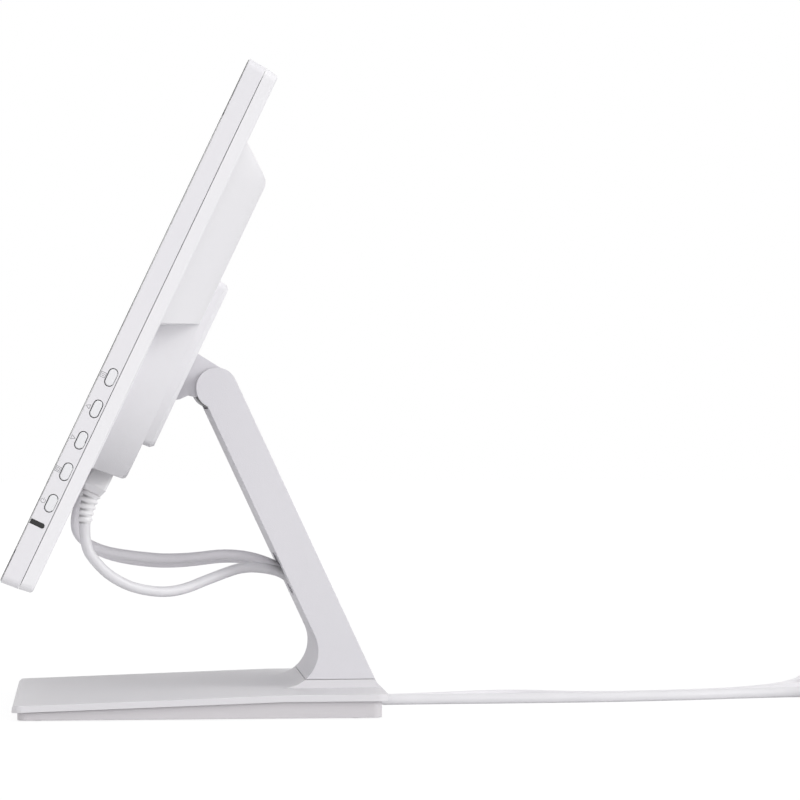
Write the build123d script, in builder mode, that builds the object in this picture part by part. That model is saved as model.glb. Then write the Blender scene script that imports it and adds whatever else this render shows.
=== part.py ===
from build123d import *
from math import asin, atan2, ceil, cos, dist, hypot, pi, radians, sin, sqrt, tan
import os

os.makedirs("parts", exist_ok=True)

# A 23.8 inch touchscreen monitor on a leaning arm and a flat base, in millimetres.
# +Z is up, the screen looks along -Y, and the buttons are on the +X side.
# The origin is on the table, in the middle of the object's footprint.

# The base
base_width = 210.0
base_depth = 240.0
base_front_height = 10.3
base_rear_height = 16.0
base_plate_thickness = 4.5
base_corner_radius = 7.0
base_nose_radius = 3.2
base_edge_chamfer = 0.5
plinth_inset = 3.6
plinth_wall = 2.4
plinth_floor = 1.5
shadow_gap = 0.35
foot_height = 0.8
foot_radius = 7.0
foot_inset = 22.0
weight_thickness = 2.8
weight_gap = 3.0

# The arm
arm_width = 110.0
arm_thickness = 23.8
arm_head_radius = 13.4
arm_wall = 2.4
arm_seam_height = 21.5
arm_foot_margin = 4.5
arm_foot_sweep = 24.0
core_thickness = 3.0
core_width = 96.0
core_cord_slot = 42.0
cord_notch_depth = 4.2
core_screw_x = 33.0
lug_thickness = 4.0
lug_length = 70.0
window_width = 46.0
window_length = 30.0
window_height = 88.0

# The tilt hinge
hinge_height = 212.1
hinge_up = 160.0
hinge_behind = 72.7
tilt = 25.4
shaft_radius = 4.0
shaft_clearance = 0.05
knuckle_width = 84.0
knuckle_radius = 13.0
knuckle_top = 15.3
knuckle_bottom = 18.3
knuckle_wall = 2.0
knuckle_gap = 1.2
sleeve_radius = 6.0
washer_thickness = 1.5
nut_thickness = 4.0
nut_flats = 13.0

# The head: across the screen, up the slope and back from the glass
display_width = 566.0
display_height = 338.0
display_overhang = 2.0
edge_depth = 20.0
seam_depth = 11.5
seam_gap = 0.3
edge_draft = 0.8
corner_radius = 5.0
case_wall = 2.4
cover_edge_radius = 2.0
glass_thickness = 1.8
glass_proud = 0.7
glass_inset = 0.8
glass_chamfer = 0.3
glass_fit = 0.15
tape_thickness = 0.3
tape_inset = 2.0
ledge_thickness = 1.2
picture_side_border = 18.5
picture_end_border = 19.75
view_width = display_width - 2 * picture_side_border
view_height = display_height - 2 * picture_end_border

module_side_border = 12.0
module_end_border = 11.0
module_width = display_width - 2 * module_side_border
module_height = display_height - 2 * module_end_border
module_clearance = 0.3
module_wall = 1.0
cell_thickness = 1.2
film_thickness = 0.8
guide_thickness = 3.0
led_bar_height = 3.0
tray_thickness = 0.8
part_gap = 0.3

bulge_depth = 43.0
bulge_bottom = 82.4
bulge_top = 302.0
bulge_top_slope = 15.0
bulge_root_width = 416.0
bulge_width = 300.0
bulge_edge_radius = 7.0
bulge_lower_radius = 3.0
bulge_bottom_draft = 2.4
bulge_corner_radius = 20.0
bulge_shoulder = [(0, 0), (0.17, 0.1), (0.33, 0.26), (0.5, 0.5), (0.67, 0.74), (0.83, 0.9), (1, 1)]
ledge_up = 190.0
ledge_drop = 12.0
vent_count = 22
vent_pitch = 12.0
vent_width = 3.0
vent_length = 9.0

chassis_width = 280.0
chassis_bottom = 92.0
chassis_top = 280.0
chassis_thickness = 1.0
mount_spacing = 100.0
mount_centre_up = 165.0
post_radius = 5.0
mount_screw_radius = 2.0
mount_hole_radius = 2.25
board_depth = 19.7
board_thickness = 1.6
standoff_radius = 3.0

mount_plate_size = 118.0
mount_plate_depth = 9.0
mount_plate_chamfer = 2.4
bracket_size = 112.0
bracket_thickness = 2.5
cover_wall = 2.0
lug_gap = 0.5
lug_setback = 2.0

# Buttons, window and connectors
button_count = 5
button_first_up = 54.1
button_pitch = 20.2
button_depth = 7.5
button_length = 10.3
button_height = 4.9
button_proud = 0.4
button_flange = 1.5
button_flange_thickness = 1.1
button_fit = 0.3
button_travel = 0.8
button_rise = 3.0
switch_size = 3.6
lens_up = 40.0
lens_height = 3.0
lens_reach = 7.6
lens_depth = 1.6
inlet_depth = 28.8
signal_depth = 25.0
power_socket_x = 60.0
video_socket_x = -18.0
usb_socket_x = -46.0
boss_radius = 2.6
boss_inset = 8.5
screw_radius = 1.4
screw_head_radius = 2.5
screw_head_height = 1.4

inlet_size = (26.8, 15.8)
inlet_cavity = (24.6, 13.6)
video_socket_size = (16.0, 7.4)
video_nose_size = (14.2, 4.8)
usb_socket_size = (13.4, 7.4)
usb_nose_size = (11.6, 5.4)

# Cords: diameters, and where each lies across the arm
power_cord = 7.0
video_cord = 6.5
usb_cord = 4.8
cord_sides = 8

# Places that follow from the sizes above
back_y = (base_depth + display_overhang) / 2
front_y = back_y - base_depth
slope = radians(tilt)
sill_y = -back_y - (glass_inset + glass_chamfer) * sin(slope)
hinge_y = sill_y + hinge_up * sin(slope) + hinge_behind * cos(slope)
sill_z = hinge_height - hinge_up * cos(slope) + hinge_behind * sin(slope)
up = Vector(0, sin(slope), cos(slope))
rearward = Vector(0, cos(slope), -sin(slope))
sill = Vector(0, sill_y, sill_z)


def on_head(x, depth, height):
    """A point of the head: across, back from the glass, and up the slope."""
    return sill + Vector(x, 0, 0) + rearward * depth + up * height


def layer(depth):
    """A plane parallel to the glass, seen from the front, with the sill's middle as origin."""
    return Plane(origin=on_head(0, depth, 0), x_dir=(1, 0, 0), z_dir=rearward * -1)


def head_side(x):
    """A side view of the head: depth to the right, height up, looking towards -X."""
    return Plane(origin=on_head(x, 0, 0), x_dir=rearward, z_dir=(1, 0, 0))


def head_shelf(height):
    """A cut across the head: width to the right, depth up, looking down the slope."""
    return Plane(origin=on_head(0, 0, height), x_dir=(1, 0, 0), z_dir=up)


middle_up = display_height / 2
half_width = display_width / 2


def layer_box(width, bottom, top, front, rear, x=0.0, mode=Mode.ADD):
    """A flat block of the head between two heights and two depths."""
    with BuildSketch(layer(rear)) as shape:
        with Locations((x, (bottom + top) / 2)):
            Rectangle(width, top - bottom)
    return extrude(shape.sketch, amount=rear - front, mode=mode)


def layer_rounded(width, height, radius, front, rear, mode=Mode.ADD):
    """A flat rounded block of the head, about the middle of the screen."""
    with BuildSketch(layer(rear)) as shape:
        with Locations((0, middle_up)):
            RectangleRounded(width, height, radius)
    return extrude(shape.sketch, amount=rear - front, mode=mode)


def layer_posts(places, radius, front, rear, mode=Mode.ADD):
    """Round posts or holes square to the glass."""
    with BuildSketch(layer(rear)) as shape:
        with Locations(*places):
            Circle(radius)
    return extrude(shape.sketch, amount=rear - front, mode=mode)


def finish(part, name):
    part.part.label = name
    export_step(part.part, f"parts/{name}.step")


# Depths of the layers behind the glass
tape_rear = glass_thickness + tape_thickness
ledge_rear = tape_rear + ledge_thickness
cell_front = ledge_rear + module_clearance
films_front = cell_front + cell_thickness
guide_front = films_front + film_thickness
tray_front = guide_front + guide_thickness
tray_rear = tray_front + tray_thickness
chassis_rear = tray_rear + chassis_thickness
cover_inside = edge_depth - case_wall
bulge_inside = bulge_depth - case_wall
glass_width = display_width - 2 * glass_inset
glass_height = display_height - 2 * glass_inset
glass_radius = corner_radius - glass_inset

# The sheet of glass that is touched, with its edge just proud of the frame
with BuildPart() as touch_glass:
    layer_rounded(glass_width, glass_height, glass_radius, 0, glass_thickness)
    chamfer(touch_glass.faces().sort_by(Axis(sill, rearward))[0].edges(), glass_chamfer)
finish(touch_glass, "touch_glass")

with BuildPart() as glass_tape:
    layer_rounded(glass_width - 2 * tape_inset, glass_height - 2 * tape_inset,
                  glass_radius, glass_thickness, tape_rear)
    layer_box(view_width, middle_up - view_height / 2, middle_up + view_height / 2,
              glass_thickness, tape_rear, mode=Mode.SUBTRACT)
finish(glass_tape, "glass_tape")

# The front frame: a drafted rim, a rebate for the glass and a ledge round the picture
button_ups = [button_first_up + n * button_pitch for n in range(button_count)]
boss_ups = [12.0, middle_up + 12.0, display_height - 12.0]
boss_places = [(side * (half_width - boss_inset), height) for side in (-1, 1) for height in boss_ups]
rim_inside_width = display_width - 2 * (case_wall + edge_draft)
rim_inside_height = display_height - 2 * (case_wall + edge_draft)


def outline(depth, inset):
    """The screen's rounded outline at a depth, drawn in by its draft."""
    with BuildSketch(layer(depth)) as shape:
        with Locations((0, middle_up)):
            RectangleRounded(display_width - 2 * inset, display_height - 2 * inset, corner_radius)
    return shape.sketch


with BuildPart() as front_frame:
    loft([outline(glass_proud, 0), outline(seam_depth, edge_draft)], ruled=True)
    layer_rounded(glass_width + 2 * glass_fit, glass_height + 2 * glass_fit,
                  glass_radius + glass_fit, glass_proud, tape_rear, mode=Mode.SUBTRACT)
    layer_rounded(rim_inside_width, rim_inside_height, corner_radius - case_wall,
                  ledge_rear, seam_depth, mode=Mode.SUBTRACT)
    layer_box(view_width, middle_up - view_height / 2, middle_up + view_height / 2,
              tape_rear, ledge_rear, mode=Mode.SUBTRACT)
    layer_posts(boss_places, boss_radius, ledge_rear, seam_depth)
    layer_posts(boss_places, screw_radius, ledge_rear + 1.5, seam_depth, mode=Mode.SUBTRACT)
    with BuildSketch(head_side(half_width - case_wall - 2 * edge_draft)):
        with Locations(*[(button_depth, height) for height in button_ups]):
            SlotOverall(button_length + 2 * button_fit, button_height + 2 * button_fit, rotation=90)
    extrude(amount=case_wall + 3 * edge_draft, mode=Mode.SUBTRACT)
    with BuildSketch(head_side(half_width - edge_draft - lens_depth)):
        with Locations((glass_proud + lens_reach / 2, lens_up)):
            SlotOverall(lens_reach + lens_height, lens_height)
    extrude(amount=lens_depth + edge_draft, mode=Mode.SUBTRACT)
finish(front_frame, "front_frame")

# The dark window for the power light, which wraps the frame's front edge
with BuildPart() as window_lens:
    with BuildSketch(head_side(half_width - edge_draft - lens_depth)):
        with Locations((glass_proud + lens_reach / 2, lens_up)):
            SlotOverall(lens_reach + lens_height, lens_height)
        with Locations((glass_proud + tape_thickness / 2 - lens_reach / 2, lens_up)):
            Rectangle(lens_reach + tape_thickness, lens_height, mode=Mode.SUBTRACT)
    extrude(amount=lens_depth + edge_draft / 2)
    layer_rounded(glass_width + 2 * glass_fit, glass_height + 2 * glass_fit,
                  glass_radius + glass_fit, 0, tape_rear, mode=Mode.SUBTRACT)
finish(window_lens, "window_lens")

# The picture module, from its cell to its steel tray
with BuildPart() as panel_cell:
    layer_rounded(module_width - 2 * module_wall - part_gap, module_height - 2 * module_wall - part_gap,
                  1.0, cell_front, films_front)
finish(panel_cell, "panel_cell")

guide_bottom = middle_up - module_height / 2 + module_wall + led_bar_height + part_gap
guide_top = middle_up + module_height / 2 - module_wall - part_gap
guide_width = module_width - 2 * module_wall - 2 * part_gap
with BuildPart() as optical_films:
    layer_box(guide_width, guide_bottom, guide_top, films_front, guide_front)
finish(optical_films, "optical_films")

with BuildPart() as light_guide:
    layer_box(guide_width, guide_bottom, guide_top, guide_front, tray_front)
finish(light_guide, "light_guide")

led_count = 24
led_pitch = guide_width / (led_count + 1)
led_size = 1.2
with BuildPart() as led_bar:
    led_bottom = guide_bottom - part_gap - led_bar_height
    layer_box(guide_width - 2, led_bottom, led_bottom + led_bar_height - led_size, guide_front, tray_front)
    with BuildSketch(layer(tray_front - led_size / 2)):
        with Locations((0, led_bottom + led_bar_height - led_size / 2)):
            with GridLocations(led_pitch, 1, led_count, 1):
                Rectangle(4 * led_size, led_size)
    extrude(amount=guide_thickness - led_size)
finish(led_bar, "led_bar")

with BuildPart() as panel_tray:
    layer_rounded(module_width, module_height, 1.5, cell_front, tray_rear)
    layer_rounded(module_width - 2 * module_wall, module_height - 2 * module_wall, 0.8,
                  cell_front, tray_front, mode=Mode.SUBTRACT)
finish(panel_tray, "panel_tray")

# The steel chassis behind the picture module, with its mounting posts and board standoffs
mount_places = [(side * mount_spacing / 2, mount_centre_up + end * mount_spacing / 2)
                for side in (-1, 1) for end in (-1, 1)]
main_board_size = (112.0, 86.0)
main_board_centre = (-66.0, 135.0)
power_board_size = (104.0, 118.0)
power_board_centre = (66.0, 176.0)
touch_board_size = (70.0, 34.0)
touch_board_centre = (-66.0, 246.0)
standoff_inset = 6.0


def board_corners(size, centre):
    reach_x = size[0] / 2 - standoff_inset
    reach_up = size[1] / 2 - standoff_inset
    return [(centre[0] + a * reach_x, centre[1] + b * reach_up) for a in (-1, 1) for b in (-1, 1)]


standoff_places = (board_corners(main_board_size, main_board_centre)
                   + board_corners(power_board_size, power_board_centre)
                   + board_corners(touch_board_size, touch_board_centre))
with BuildPart() as chassis_plate:
    layer_box(chassis_width, chassis_bottom, chassis_top, tray_rear, chassis_rear)
    layer_box(chassis_width, chassis_bottom, chassis_bottom + chassis_thickness,
              chassis_rear, chassis_rear + 6)
    layer_box(chassis_width, chassis_top - chassis_thickness, chassis_top,
              chassis_rear, chassis_rear + 6)
    layer_posts(mount_places, post_radius, chassis_rear, bulge_inside)
    layer_posts(standoff_places, standoff_radius, chassis_rear, board_depth)
    layer_posts(mount_places, mount_screw_radius + 0.05, chassis_rear + 4, bulge_inside,
                mode=Mode.SUBTRACT)
finish(chassis_plate, "chassis_plate")


def board(size, centre):
    """A circuit board on its standoffs, clear of the mounting posts."""
    layer_box(size[0], centre[1] - size[1] / 2, centre[1] + size[1] / 2,
              board_depth, board_depth + board_thickness, x=centre[0])
    layer_posts(mount_places, post_radius + 1, board_depth, board_depth + board_thickness,
                mode=Mode.SUBTRACT)


def chip(x, height, width, length, thickness):
    """A component on the back of a board."""
    layer_box(width, height - length / 2, height + length / 2, board_depth + board_thickness,
              board_depth + board_thickness + thickness, x=x)


with BuildPart() as main_board:
    board(main_board_size, main_board_centre)
    chip(main_board_centre[0], main_board_centre[1] + 4, 27, 27, 2)
    chip(main_board_centre[0] + 2, main_board_centre[1] + 32, 14, 9, 1.2)
    chip(main_board_centre[0] - 32, main_board_centre[1] + 6, 12, 20, 1.2)
    chip(main_board_centre[0] + 4, main_board_centre[1] - 24, 9, 9, 5)
finish(main_board, "main_board")

with BuildPart() as power_board:
    board(power_board_size, power_board_centre)
    chip(power_board_centre[0] + 22, power_board_centre[1] - 12, 30, 32, 12)
    chip(power_board_centre[0] + 24, power_board_centre[1] + 26, 22, 14, 11)
    chip(power_board_centre[0] - 30, power_board_centre[1] + 8, 3, 44, 12)
    rear_of_board = board_depth + board_thickness
    layer_posts([(power_board_centre[0] + 2, power_board_centre[1] + 40),
                 (power_board_centre[0] + 2, power_board_centre[1] + 24)],
                5, rear_of_board, rear_of_board + 12)
finish(power_board, "power_board")

with BuildPart() as touch_board:
    board(touch_board_size, touch_board_centre)
    chip(touch_board_centre[0], touch_board_centre[1], 14, 14, 1.4)
    chip(touch_board_centre[0] - 22, touch_board_centre[1], 8, 20, 3)
finish(touch_board, "touch_board")

# The buttons, their circuit board and their switches
button_face_x = half_width - edge_draft / 2 + button_proud
rim_inner_x = half_width - case_wall - edge_draft
flange_outer_x = rim_inner_x - 0.1
stem_x = button_face_x - button_rise - button_flange_thickness - 1.6
switch_top_x = stem_x - button_travel - 0.1
board_strip_x = module_width / 2 + 0.4
strip_thickness = 1.0
strip_bottom = button_ups[0] - 12
strip_top = button_ups[-1] + 12
with BuildPart() as button_board:
    layer_box(strip_thickness, strip_bottom, strip_top, ledge_rear, seam_depth - 2,
              x=board_strip_x + strip_thickness / 2)
    with BuildSketch(head_side(board_strip_x + strip_thickness)):
        with Locations(*[(button_depth, height) for height in button_ups]):
            Rectangle(switch_size, switch_size)
    extrude(amount=switch_top_x - board_strip_x - strip_thickness)
finish(button_board, "button_board")

for number, height in enumerate(button_ups, start=1):
    with BuildPart() as button:
        with BuildSketch(head_side(flange_outer_x)):
            with Locations((button_depth, height)):
                SlotOverall(button_length, button_height, rotation=90)
        extrude(amount=button_face_x - flange_outer_x)
        fillet(button.faces().sort_by(Axis.X)[-1].edges(), 0.5)
        with BuildSketch(head_side(flange_outer_x - button_flange_thickness)):
            with Locations((button_depth, height)):
                Rectangle(button_height, button_length + 2 * button_flange)
        extrude(amount=button_flange_thickness)
        with BuildSketch(head_side(stem_x)):
            with Locations((button_depth, height)):
                Circle(1.2)
        extrude(amount=flange_outer_x - stem_x)
    finish(button, f"button_{number}")


# The rear cover: a drafted rim with a swelling for the electronics. The swelling's upper half
# flows out to wide shoulders, and its lower half steps in to straight walls under a ledge.
def swelling(inset, front):
    """The swelling as a solid of its own, drawn in by a wall."""
    rear = bulge_depth - inset
    root = bulge_root_width / 2 - inset
    crown = bulge_width / 2 - inset
    root_depth = edge_depth - inset
    bottom = bulge_bottom + inset
    root_bottom = bottom - bulge_bottom_draft
    top = bulge_top - inset
    ledge = ledge_up + inset

    def plan(share_in, share_back):
        half = root + (crown - root) * share_in
        with BuildSketch(layer(root_depth + (rear - root_depth) * share_back)) as shape:
            with Locations((0, (root_bottom + top) / 2)):
                RectangleRounded(2 * half, top - root_bottom, bulge_corner_radius - inset)
        return shape.sketch

    with BuildPart() as form:
        extrude(plan(0, 0), amount=root_depth - front)
        loft([plan(share_in, share_back) for share_in, share_back in bulge_shoulder])
        with BuildSketch(head_side(crown)) as step:
            with BuildLine():
                Polyline((front, root_bottom - 1), (rear + 1, root_bottom - 1), (rear + 1, ledge),
                         (root_depth, ledge - ledge_drop), (front, ledge - ledge_drop), close=True)
            make_face()
        extrude(amount=root, mode=Mode.SUBTRACT)
        with BuildSketch(head_side(-crown)):
            add(step.sketch_local)
        extrude(amount=-root, mode=Mode.SUBTRACT)
        with BuildSketch(head_side(-half_width)) as profile:
            with BuildLine():
                Polyline((front, root_bottom), (root_depth, root_bottom), (rear, bottom),
                         (rear, top - bulge_top_slope), (root_depth, top), (front, top), close=True)
            make_face()
            low_corner, high_corner = profile.vertices().sort_by(Axis.X)[-2:].sort_by(Axis.Y)
            fillet(high_corner, bulge_edge_radius - inset)
            low_corner = profile.vertices().sort_by(Axis.X)[-3:].sort_by(Axis.Y)[0]
            fillet(low_corner, bulge_lower_radius - inset)
        extrude(amount=display_width, mode=Mode.INTERSECT)
    return form


connector_holes = [(power_socket_x, inlet_size, inlet_depth),
                   (video_socket_x, video_socket_size, signal_depth),
                   (usb_socket_x, usb_socket_size, signal_depth)]
outer_swelling = swelling(0, edge_depth - case_wall)
inner_swelling = swelling(case_wall, seam_depth)
with BuildPart() as rear_cover:
    loft([outline(seam_depth + seam_gap, edge_draft), outline(edge_depth, 2.4 * edge_draft)], ruled=True)
    rim_edges = rear_cover.faces().sort_by(Axis(sill, rearward))[-1].edges()
    fillet(rim_edges, cover_edge_radius)
    add(outer_swelling.part)
    layer_rounded(rim_inside_width - 2 * edge_draft, rim_inside_height - 2 * edge_draft,
                  corner_radius - case_wall, seam_depth, cover_inside, mode=Mode.SUBTRACT)
    add(inner_swelling.part, mode=Mode.SUBTRACT)
    # Bosses that meet the frame's, counterbored from behind for the case screws
    layer_posts(boss_places, boss_radius, seam_depth + 0.02, cover_inside)
    layer_posts(boss_places, screw_radius + 0.2, seam_depth, edge_depth + 1, mode=Mode.SUBTRACT)
    layer_posts(boss_places, screw_head_radius + 0.2, edge_depth - screw_head_height - 0.4,
                edge_depth + 1, mode=Mode.SUBTRACT)
    # Holes for the mounting screws, the connectors and the air
    layer_posts(mount_places, mount_hole_radius, bulge_inside - 1, bulge_depth + 1, mode=Mode.SUBTRACT)
    for place, size, depth in connector_holes:
        with BuildSketch(head_shelf(bulge_bottom - bulge_bottom_draft)) as hole:
            with Locations((place, depth)):
                RectangleRounded(size[0] + 2 * part_gap, size[1] + 2 * part_gap, 0.8)
        extrude(hole.sketch, amount=case_wall + 2 * bulge_bottom_draft, mode=Mode.SUBTRACT)
    with BuildSketch(layer(bulge_depth)) as vents:
        with Locations((0, bulge_top - bulge_top_slope / 2 - case_wall)):
            with GridLocations(vent_pitch, 1, vent_count, 1):
                Rectangle(vent_width, vent_length)
    extrude(vents.sketch, amount=bulge_depth - edge_depth + 1, mode=Mode.SUBTRACT)
finish(rear_cover, "rear_cover")

with BuildPart() as case_screws:
    head_seat = edge_depth - screw_head_height - 0.4
    layer_posts(boss_places, screw_radius - 0.05, ledge_rear + 3, head_seat)
    layer_posts(boss_places, screw_head_radius, head_seat, head_seat + screw_head_height)
    with BuildSketch(layer(head_seat + screw_head_height)) as recess:
        with Locations(*boss_places):
            RegularPolygon(1.2, 6)
    extrude(recess.sketch, amount=0.8, mode=Mode.SUBTRACT)
finish(case_screws, "case_screws")


# Sockets: each is a box with a cavity that opens down the slope
def socket(name, place, size, depth, cavity, length, cavity_length, start):
    with BuildPart() as body:
        with BuildSketch(head_shelf(start)) as outer:
            with Locations((place, depth)):
                RectangleRounded(size[0], size[1], 0.7)
        extrude(outer.sketch, amount=length)
        with BuildSketch(head_shelf(start)) as inner:
            with Locations((place, depth)):
                RectangleRounded(cavity[0], cavity[1], 0.5)
        extrude(inner.sketch, amount=cavity_length, mode=Mode.SUBTRACT)
    finish(body, name)


socket("inlet_socket", power_socket_x, inlet_size, inlet_depth, inlet_cavity, 26, 20,
       bulge_bottom)
socket("video_socket", video_socket_x, video_socket_size, signal_depth, video_nose_size,
       13, 10, bulge_bottom)
socket("usb_socket", usb_socket_x, usb_socket_size, signal_depth, usb_nose_size,
       15, 10, bulge_bottom)

def knuckle_sketch(x, inset, rear_of_plate):
    with BuildSketch(head_side(x)) as shape:
        with BuildLine():
            Polyline((rear_of_plate, hinge_up + knuckle_top - inset),
                     (hinge_behind, hinge_up + knuckle_radius - inset),
                     (hinge_behind, hinge_up - knuckle_radius + inset),
                     (hinge_behind - 8, hinge_up - 10.2 + inset),
                     (hinge_behind - 14, hinge_up - 11.6 + inset),
                     (hinge_behind - 18.3, hinge_up - 16.8 + inset),
                     (rear_of_plate, hinge_up - knuckle_bottom + inset), close=True)
        make_face()
        with Locations((hinge_behind, hinge_up)):
            Circle(knuckle_radius - inset)
    return shape.sketch


# The steel bracket on the back of the head, with the two lugs that turn on the hinge shaft
plate_bottom = mount_centre_up - mount_plate_size / 2
plate_top = mount_centre_up + mount_plate_size / 2
bracket_front = bulge_depth
bracket_rear = bulge_depth + bracket_thickness
plate_rear = bulge_depth + mount_plate_depth
lug_outer_x = knuckle_width / 2 - knuckle_wall - lug_setback
lug_outer_radius = knuckle_radius - knuckle_wall - lug_gap
bracket_lug_places = [-lug_outer_x, lug_outer_x - lug_thickness]
with BuildPart() as mount_bracket:
    layer_box(bracket_size, mount_centre_up - bracket_size / 2, mount_centre_up + bracket_size / 2,
              bracket_front, bracket_rear)
    for x in bracket_lug_places:
        with BuildSketch(head_side(x)) as bore:
            with Locations((hinge_behind, hinge_up)):
                Circle(shaft_radius + shaft_clearance)
        extrude(knuckle_sketch(x, knuckle_wall + lug_gap, bracket_front + 1), amount=lug_thickness)
        extrude(bore.sketch, amount=lug_thickness, mode=Mode.SUBTRACT)
    layer_posts(mount_places, mount_hole_radius, bracket_front, bracket_rear, mode=Mode.SUBTRACT)
finish(mount_bracket, "mount_bracket")

with BuildPart() as mount_screws:
    layer_posts(mount_places, mount_screw_radius, bulge_inside - 10, bracket_rear)
    layer_posts(mount_places, 3.8, bracket_rear, bracket_rear + 2.4)
    with BuildSketch(layer(bracket_rear + 2.4)) as recess:
        with Locations(*mount_places):
            RegularPolygon(1.7, 6)
    extrude(recess.sketch, amount=1.2, mode=Mode.SUBTRACT)
finish(mount_screws, "mount_screws")


def mount_form(inset, front, rear):
    """The chamfered block behind the head, drawn in by a wall."""
    with BuildSketch(layer(front)) as root:
        with Locations((0, mount_centre_up)):
            RectangleRounded(mount_plate_size - 2 * inset, mount_plate_size - 2 * inset, 4 - inset)
    with BuildSketch(layer(rear - mount_plate_chamfer)) as waist:
        with Locations((0, mount_centre_up)):
            RectangleRounded(mount_plate_size - 2 * inset - 1, mount_plate_size - 2 * inset - 1, 4 - inset)
    with BuildSketch(layer(rear)) as crown:
        with Locations((0, mount_centre_up)):
            RectangleRounded(mount_plate_size - 2 * (inset + mount_plate_chamfer),
                             mount_plate_size - 2 * (inset + mount_plate_chamfer), 4 - inset)
    return [root.sketch, waist.sketch, crown.sketch]


with BuildPart() as mount_cover:
    loft(mount_form(0, bulge_depth, plate_rear), ruled=True)
    loft(mount_form(cover_wall, bulge_depth, plate_rear - cover_wall), ruled=True, mode=Mode.SUBTRACT)
    for x in bracket_lug_places:
        layer_box(lug_thickness + 2 * part_gap, hinge_up - knuckle_bottom + 1, hinge_up + knuckle_top - 1,
                  plate_rear - cover_wall - 1, plate_rear + 1, x=x + lug_thickness / 2,
                  mode=Mode.SUBTRACT)
finish(mount_cover, "mount_cover")


# The knuckle: a moulded shroud from the mounting cover to the hinge, round the two lugs
with BuildPart() as hinge_knuckle:
    extrude(knuckle_sketch(-knuckle_width / 2, 0, plate_rear), amount=knuckle_width)
    extrude(knuckle_sketch(-knuckle_width / 2 + knuckle_wall, knuckle_wall, plate_rear - 1),
            amount=knuckle_width - 2 * knuckle_wall, mode=Mode.SUBTRACT)
    with BuildSketch(head_side(-knuckle_width)) as bore:
        with Locations((hinge_behind, hinge_up)):
            Circle(sleeve_radius + 0.4)
    extrude(bore.sketch, amount=2 * knuckle_width, mode=Mode.SUBTRACT)
finish(hinge_knuckle, "hinge_knuckle")

# The hinge shaft is held by the arm, and the bracket's lugs turn on it between washers
hinge_side = Plane(origin=(0, hinge_y, hinge_height), x_dir=(0, 1, 0), z_dir=(1, 0, 0))


def on_shaft(radius, start, length, bore=0.0):
    """A ring or rod on the hinge axis, from start along +X."""
    with BuildSketch(hinge_side.offset(start)) as ring:
        Circle(radius)
        if bore:
            Circle(bore, mode=Mode.SUBTRACT)
    return extrude(ring.sketch, amount=length)


core_lug_inner = knuckle_width / 2 + knuckle_gap + 0.4
core_lug_outer = core_lug_inner + lug_thickness
shaft_half = core_lug_outer + 2.5
lug_inner_x = lug_outer_x - lug_thickness
axial_gap = 0.1
with BuildPart() as hinge_shaft:
    on_shaft(shaft_radius, -shaft_half, 2 * shaft_half)
    on_shaft(shaft_radius + 2, core_lug_outer, 2)
    chamfer(hinge_shaft.faces().sort_by(Axis.X)[0].edges(), 0.6)
finish(hinge_shaft, "hinge_shaft")

with BuildPart() as hinge_washers:
    for side in (-1, 1):
        start = side * (lug_inner_x - axial_gap)
        on_shaft(sleeve_radius + 2, min(start, start - side * washer_thickness), washer_thickness,
                 bore=shaft_radius)
finish(hinge_washers, "hinge_washers")

with BuildPart() as hinge_sleeves:
    for side in (-1, 1):
        start = side * (lug_outer_x + axial_gap)
        length = core_lug_inner - lug_outer_x - axial_gap
        on_shaft(sleeve_radius, min(start, start + side * length), length, bore=shaft_radius)
finish(hinge_sleeves, "hinge_sleeves")

with BuildPart() as hinge_nuts:
    for side in (-1, 1):
        outer = side * (lug_inner_x - axial_gap - washer_thickness)
        with BuildSketch(hinge_side.offset(min(outer, outer - side * nut_thickness))) as nut:
            RegularPolygon(nut_flats / 2, 6, major_radius=False)
            Circle(shaft_radius, mode=Mode.SUBTRACT)
        extrude(nut.sketch, amount=nut_thickness)
finish(hinge_nuts, "hinge_nuts")

# The arm leans from the hinge to its seam with the base. Its lines are set by the hinge,
# the seam and the sweep, so it follows any of them.
foot_rear_y = back_y - arm_foot_margin
foot_reach = hypot(foot_rear_y - hinge_y, hinge_height - arm_seam_height)
lean = (atan2(foot_rear_y - hinge_y, hinge_height - arm_seam_height)
        - asin(arm_head_radius / foot_reach))
front_line = arm_head_radius - arm_thickness


def arm_point(along, across):
    """A point of the arm's side view: down the arm from the hinge, and towards its back."""
    return (hinge_y + along * sin(lean) + across * cos(lean),
            hinge_height - along * cos(lean) + across * sin(lean))


def along_at(across, height):
    """How far down the arm a line of it comes to a height above the table."""
    return (hinge_height - height + across * sin(lean)) / cos(lean)


sweep_z = base_rear_height + arm_foot_sweep
sweep_along = along_at(front_line - arm_foot_sweep, sweep_z)
sweep_y = arm_point(sweep_along, front_line - arm_foot_sweep)[0]


def arm_outline(half, inset, rear_line, bottom):
    """The arm's side view between two sides, drawn in by a wall, down to a height."""
    radius = arm_foot_sweep + inset
    end_angle = asin((sweep_z - bottom) / radius)
    low_front = (sweep_y + radius * cos(end_angle), bottom)
    middle_angle = (lean - end_angle) / 2
    middle = (sweep_y + radius * cos(middle_angle), sweep_z + radius * sin(middle_angle))
    tangent = arm_point(sweep_along, front_line + inset)
    with BuildSketch(Plane.YZ.offset(-half)) as shape:
        with BuildLine():
            Line(arm_point(0, rear_line), arm_point(along_at(rear_line, bottom), rear_line))
            Line(arm_point(along_at(rear_line, bottom), rear_line), low_front)
            ThreePointArc(low_front, middle, tangent)
            Line(tangent, arm_point(0, front_line + inset))
            Line(arm_point(0, front_line + inset), arm_point(0, rear_line))
        make_face()
        with Locations((hinge_y, hinge_height)):
            Circle(arm_head_radius - inset)
    return shape.sketch


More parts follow.
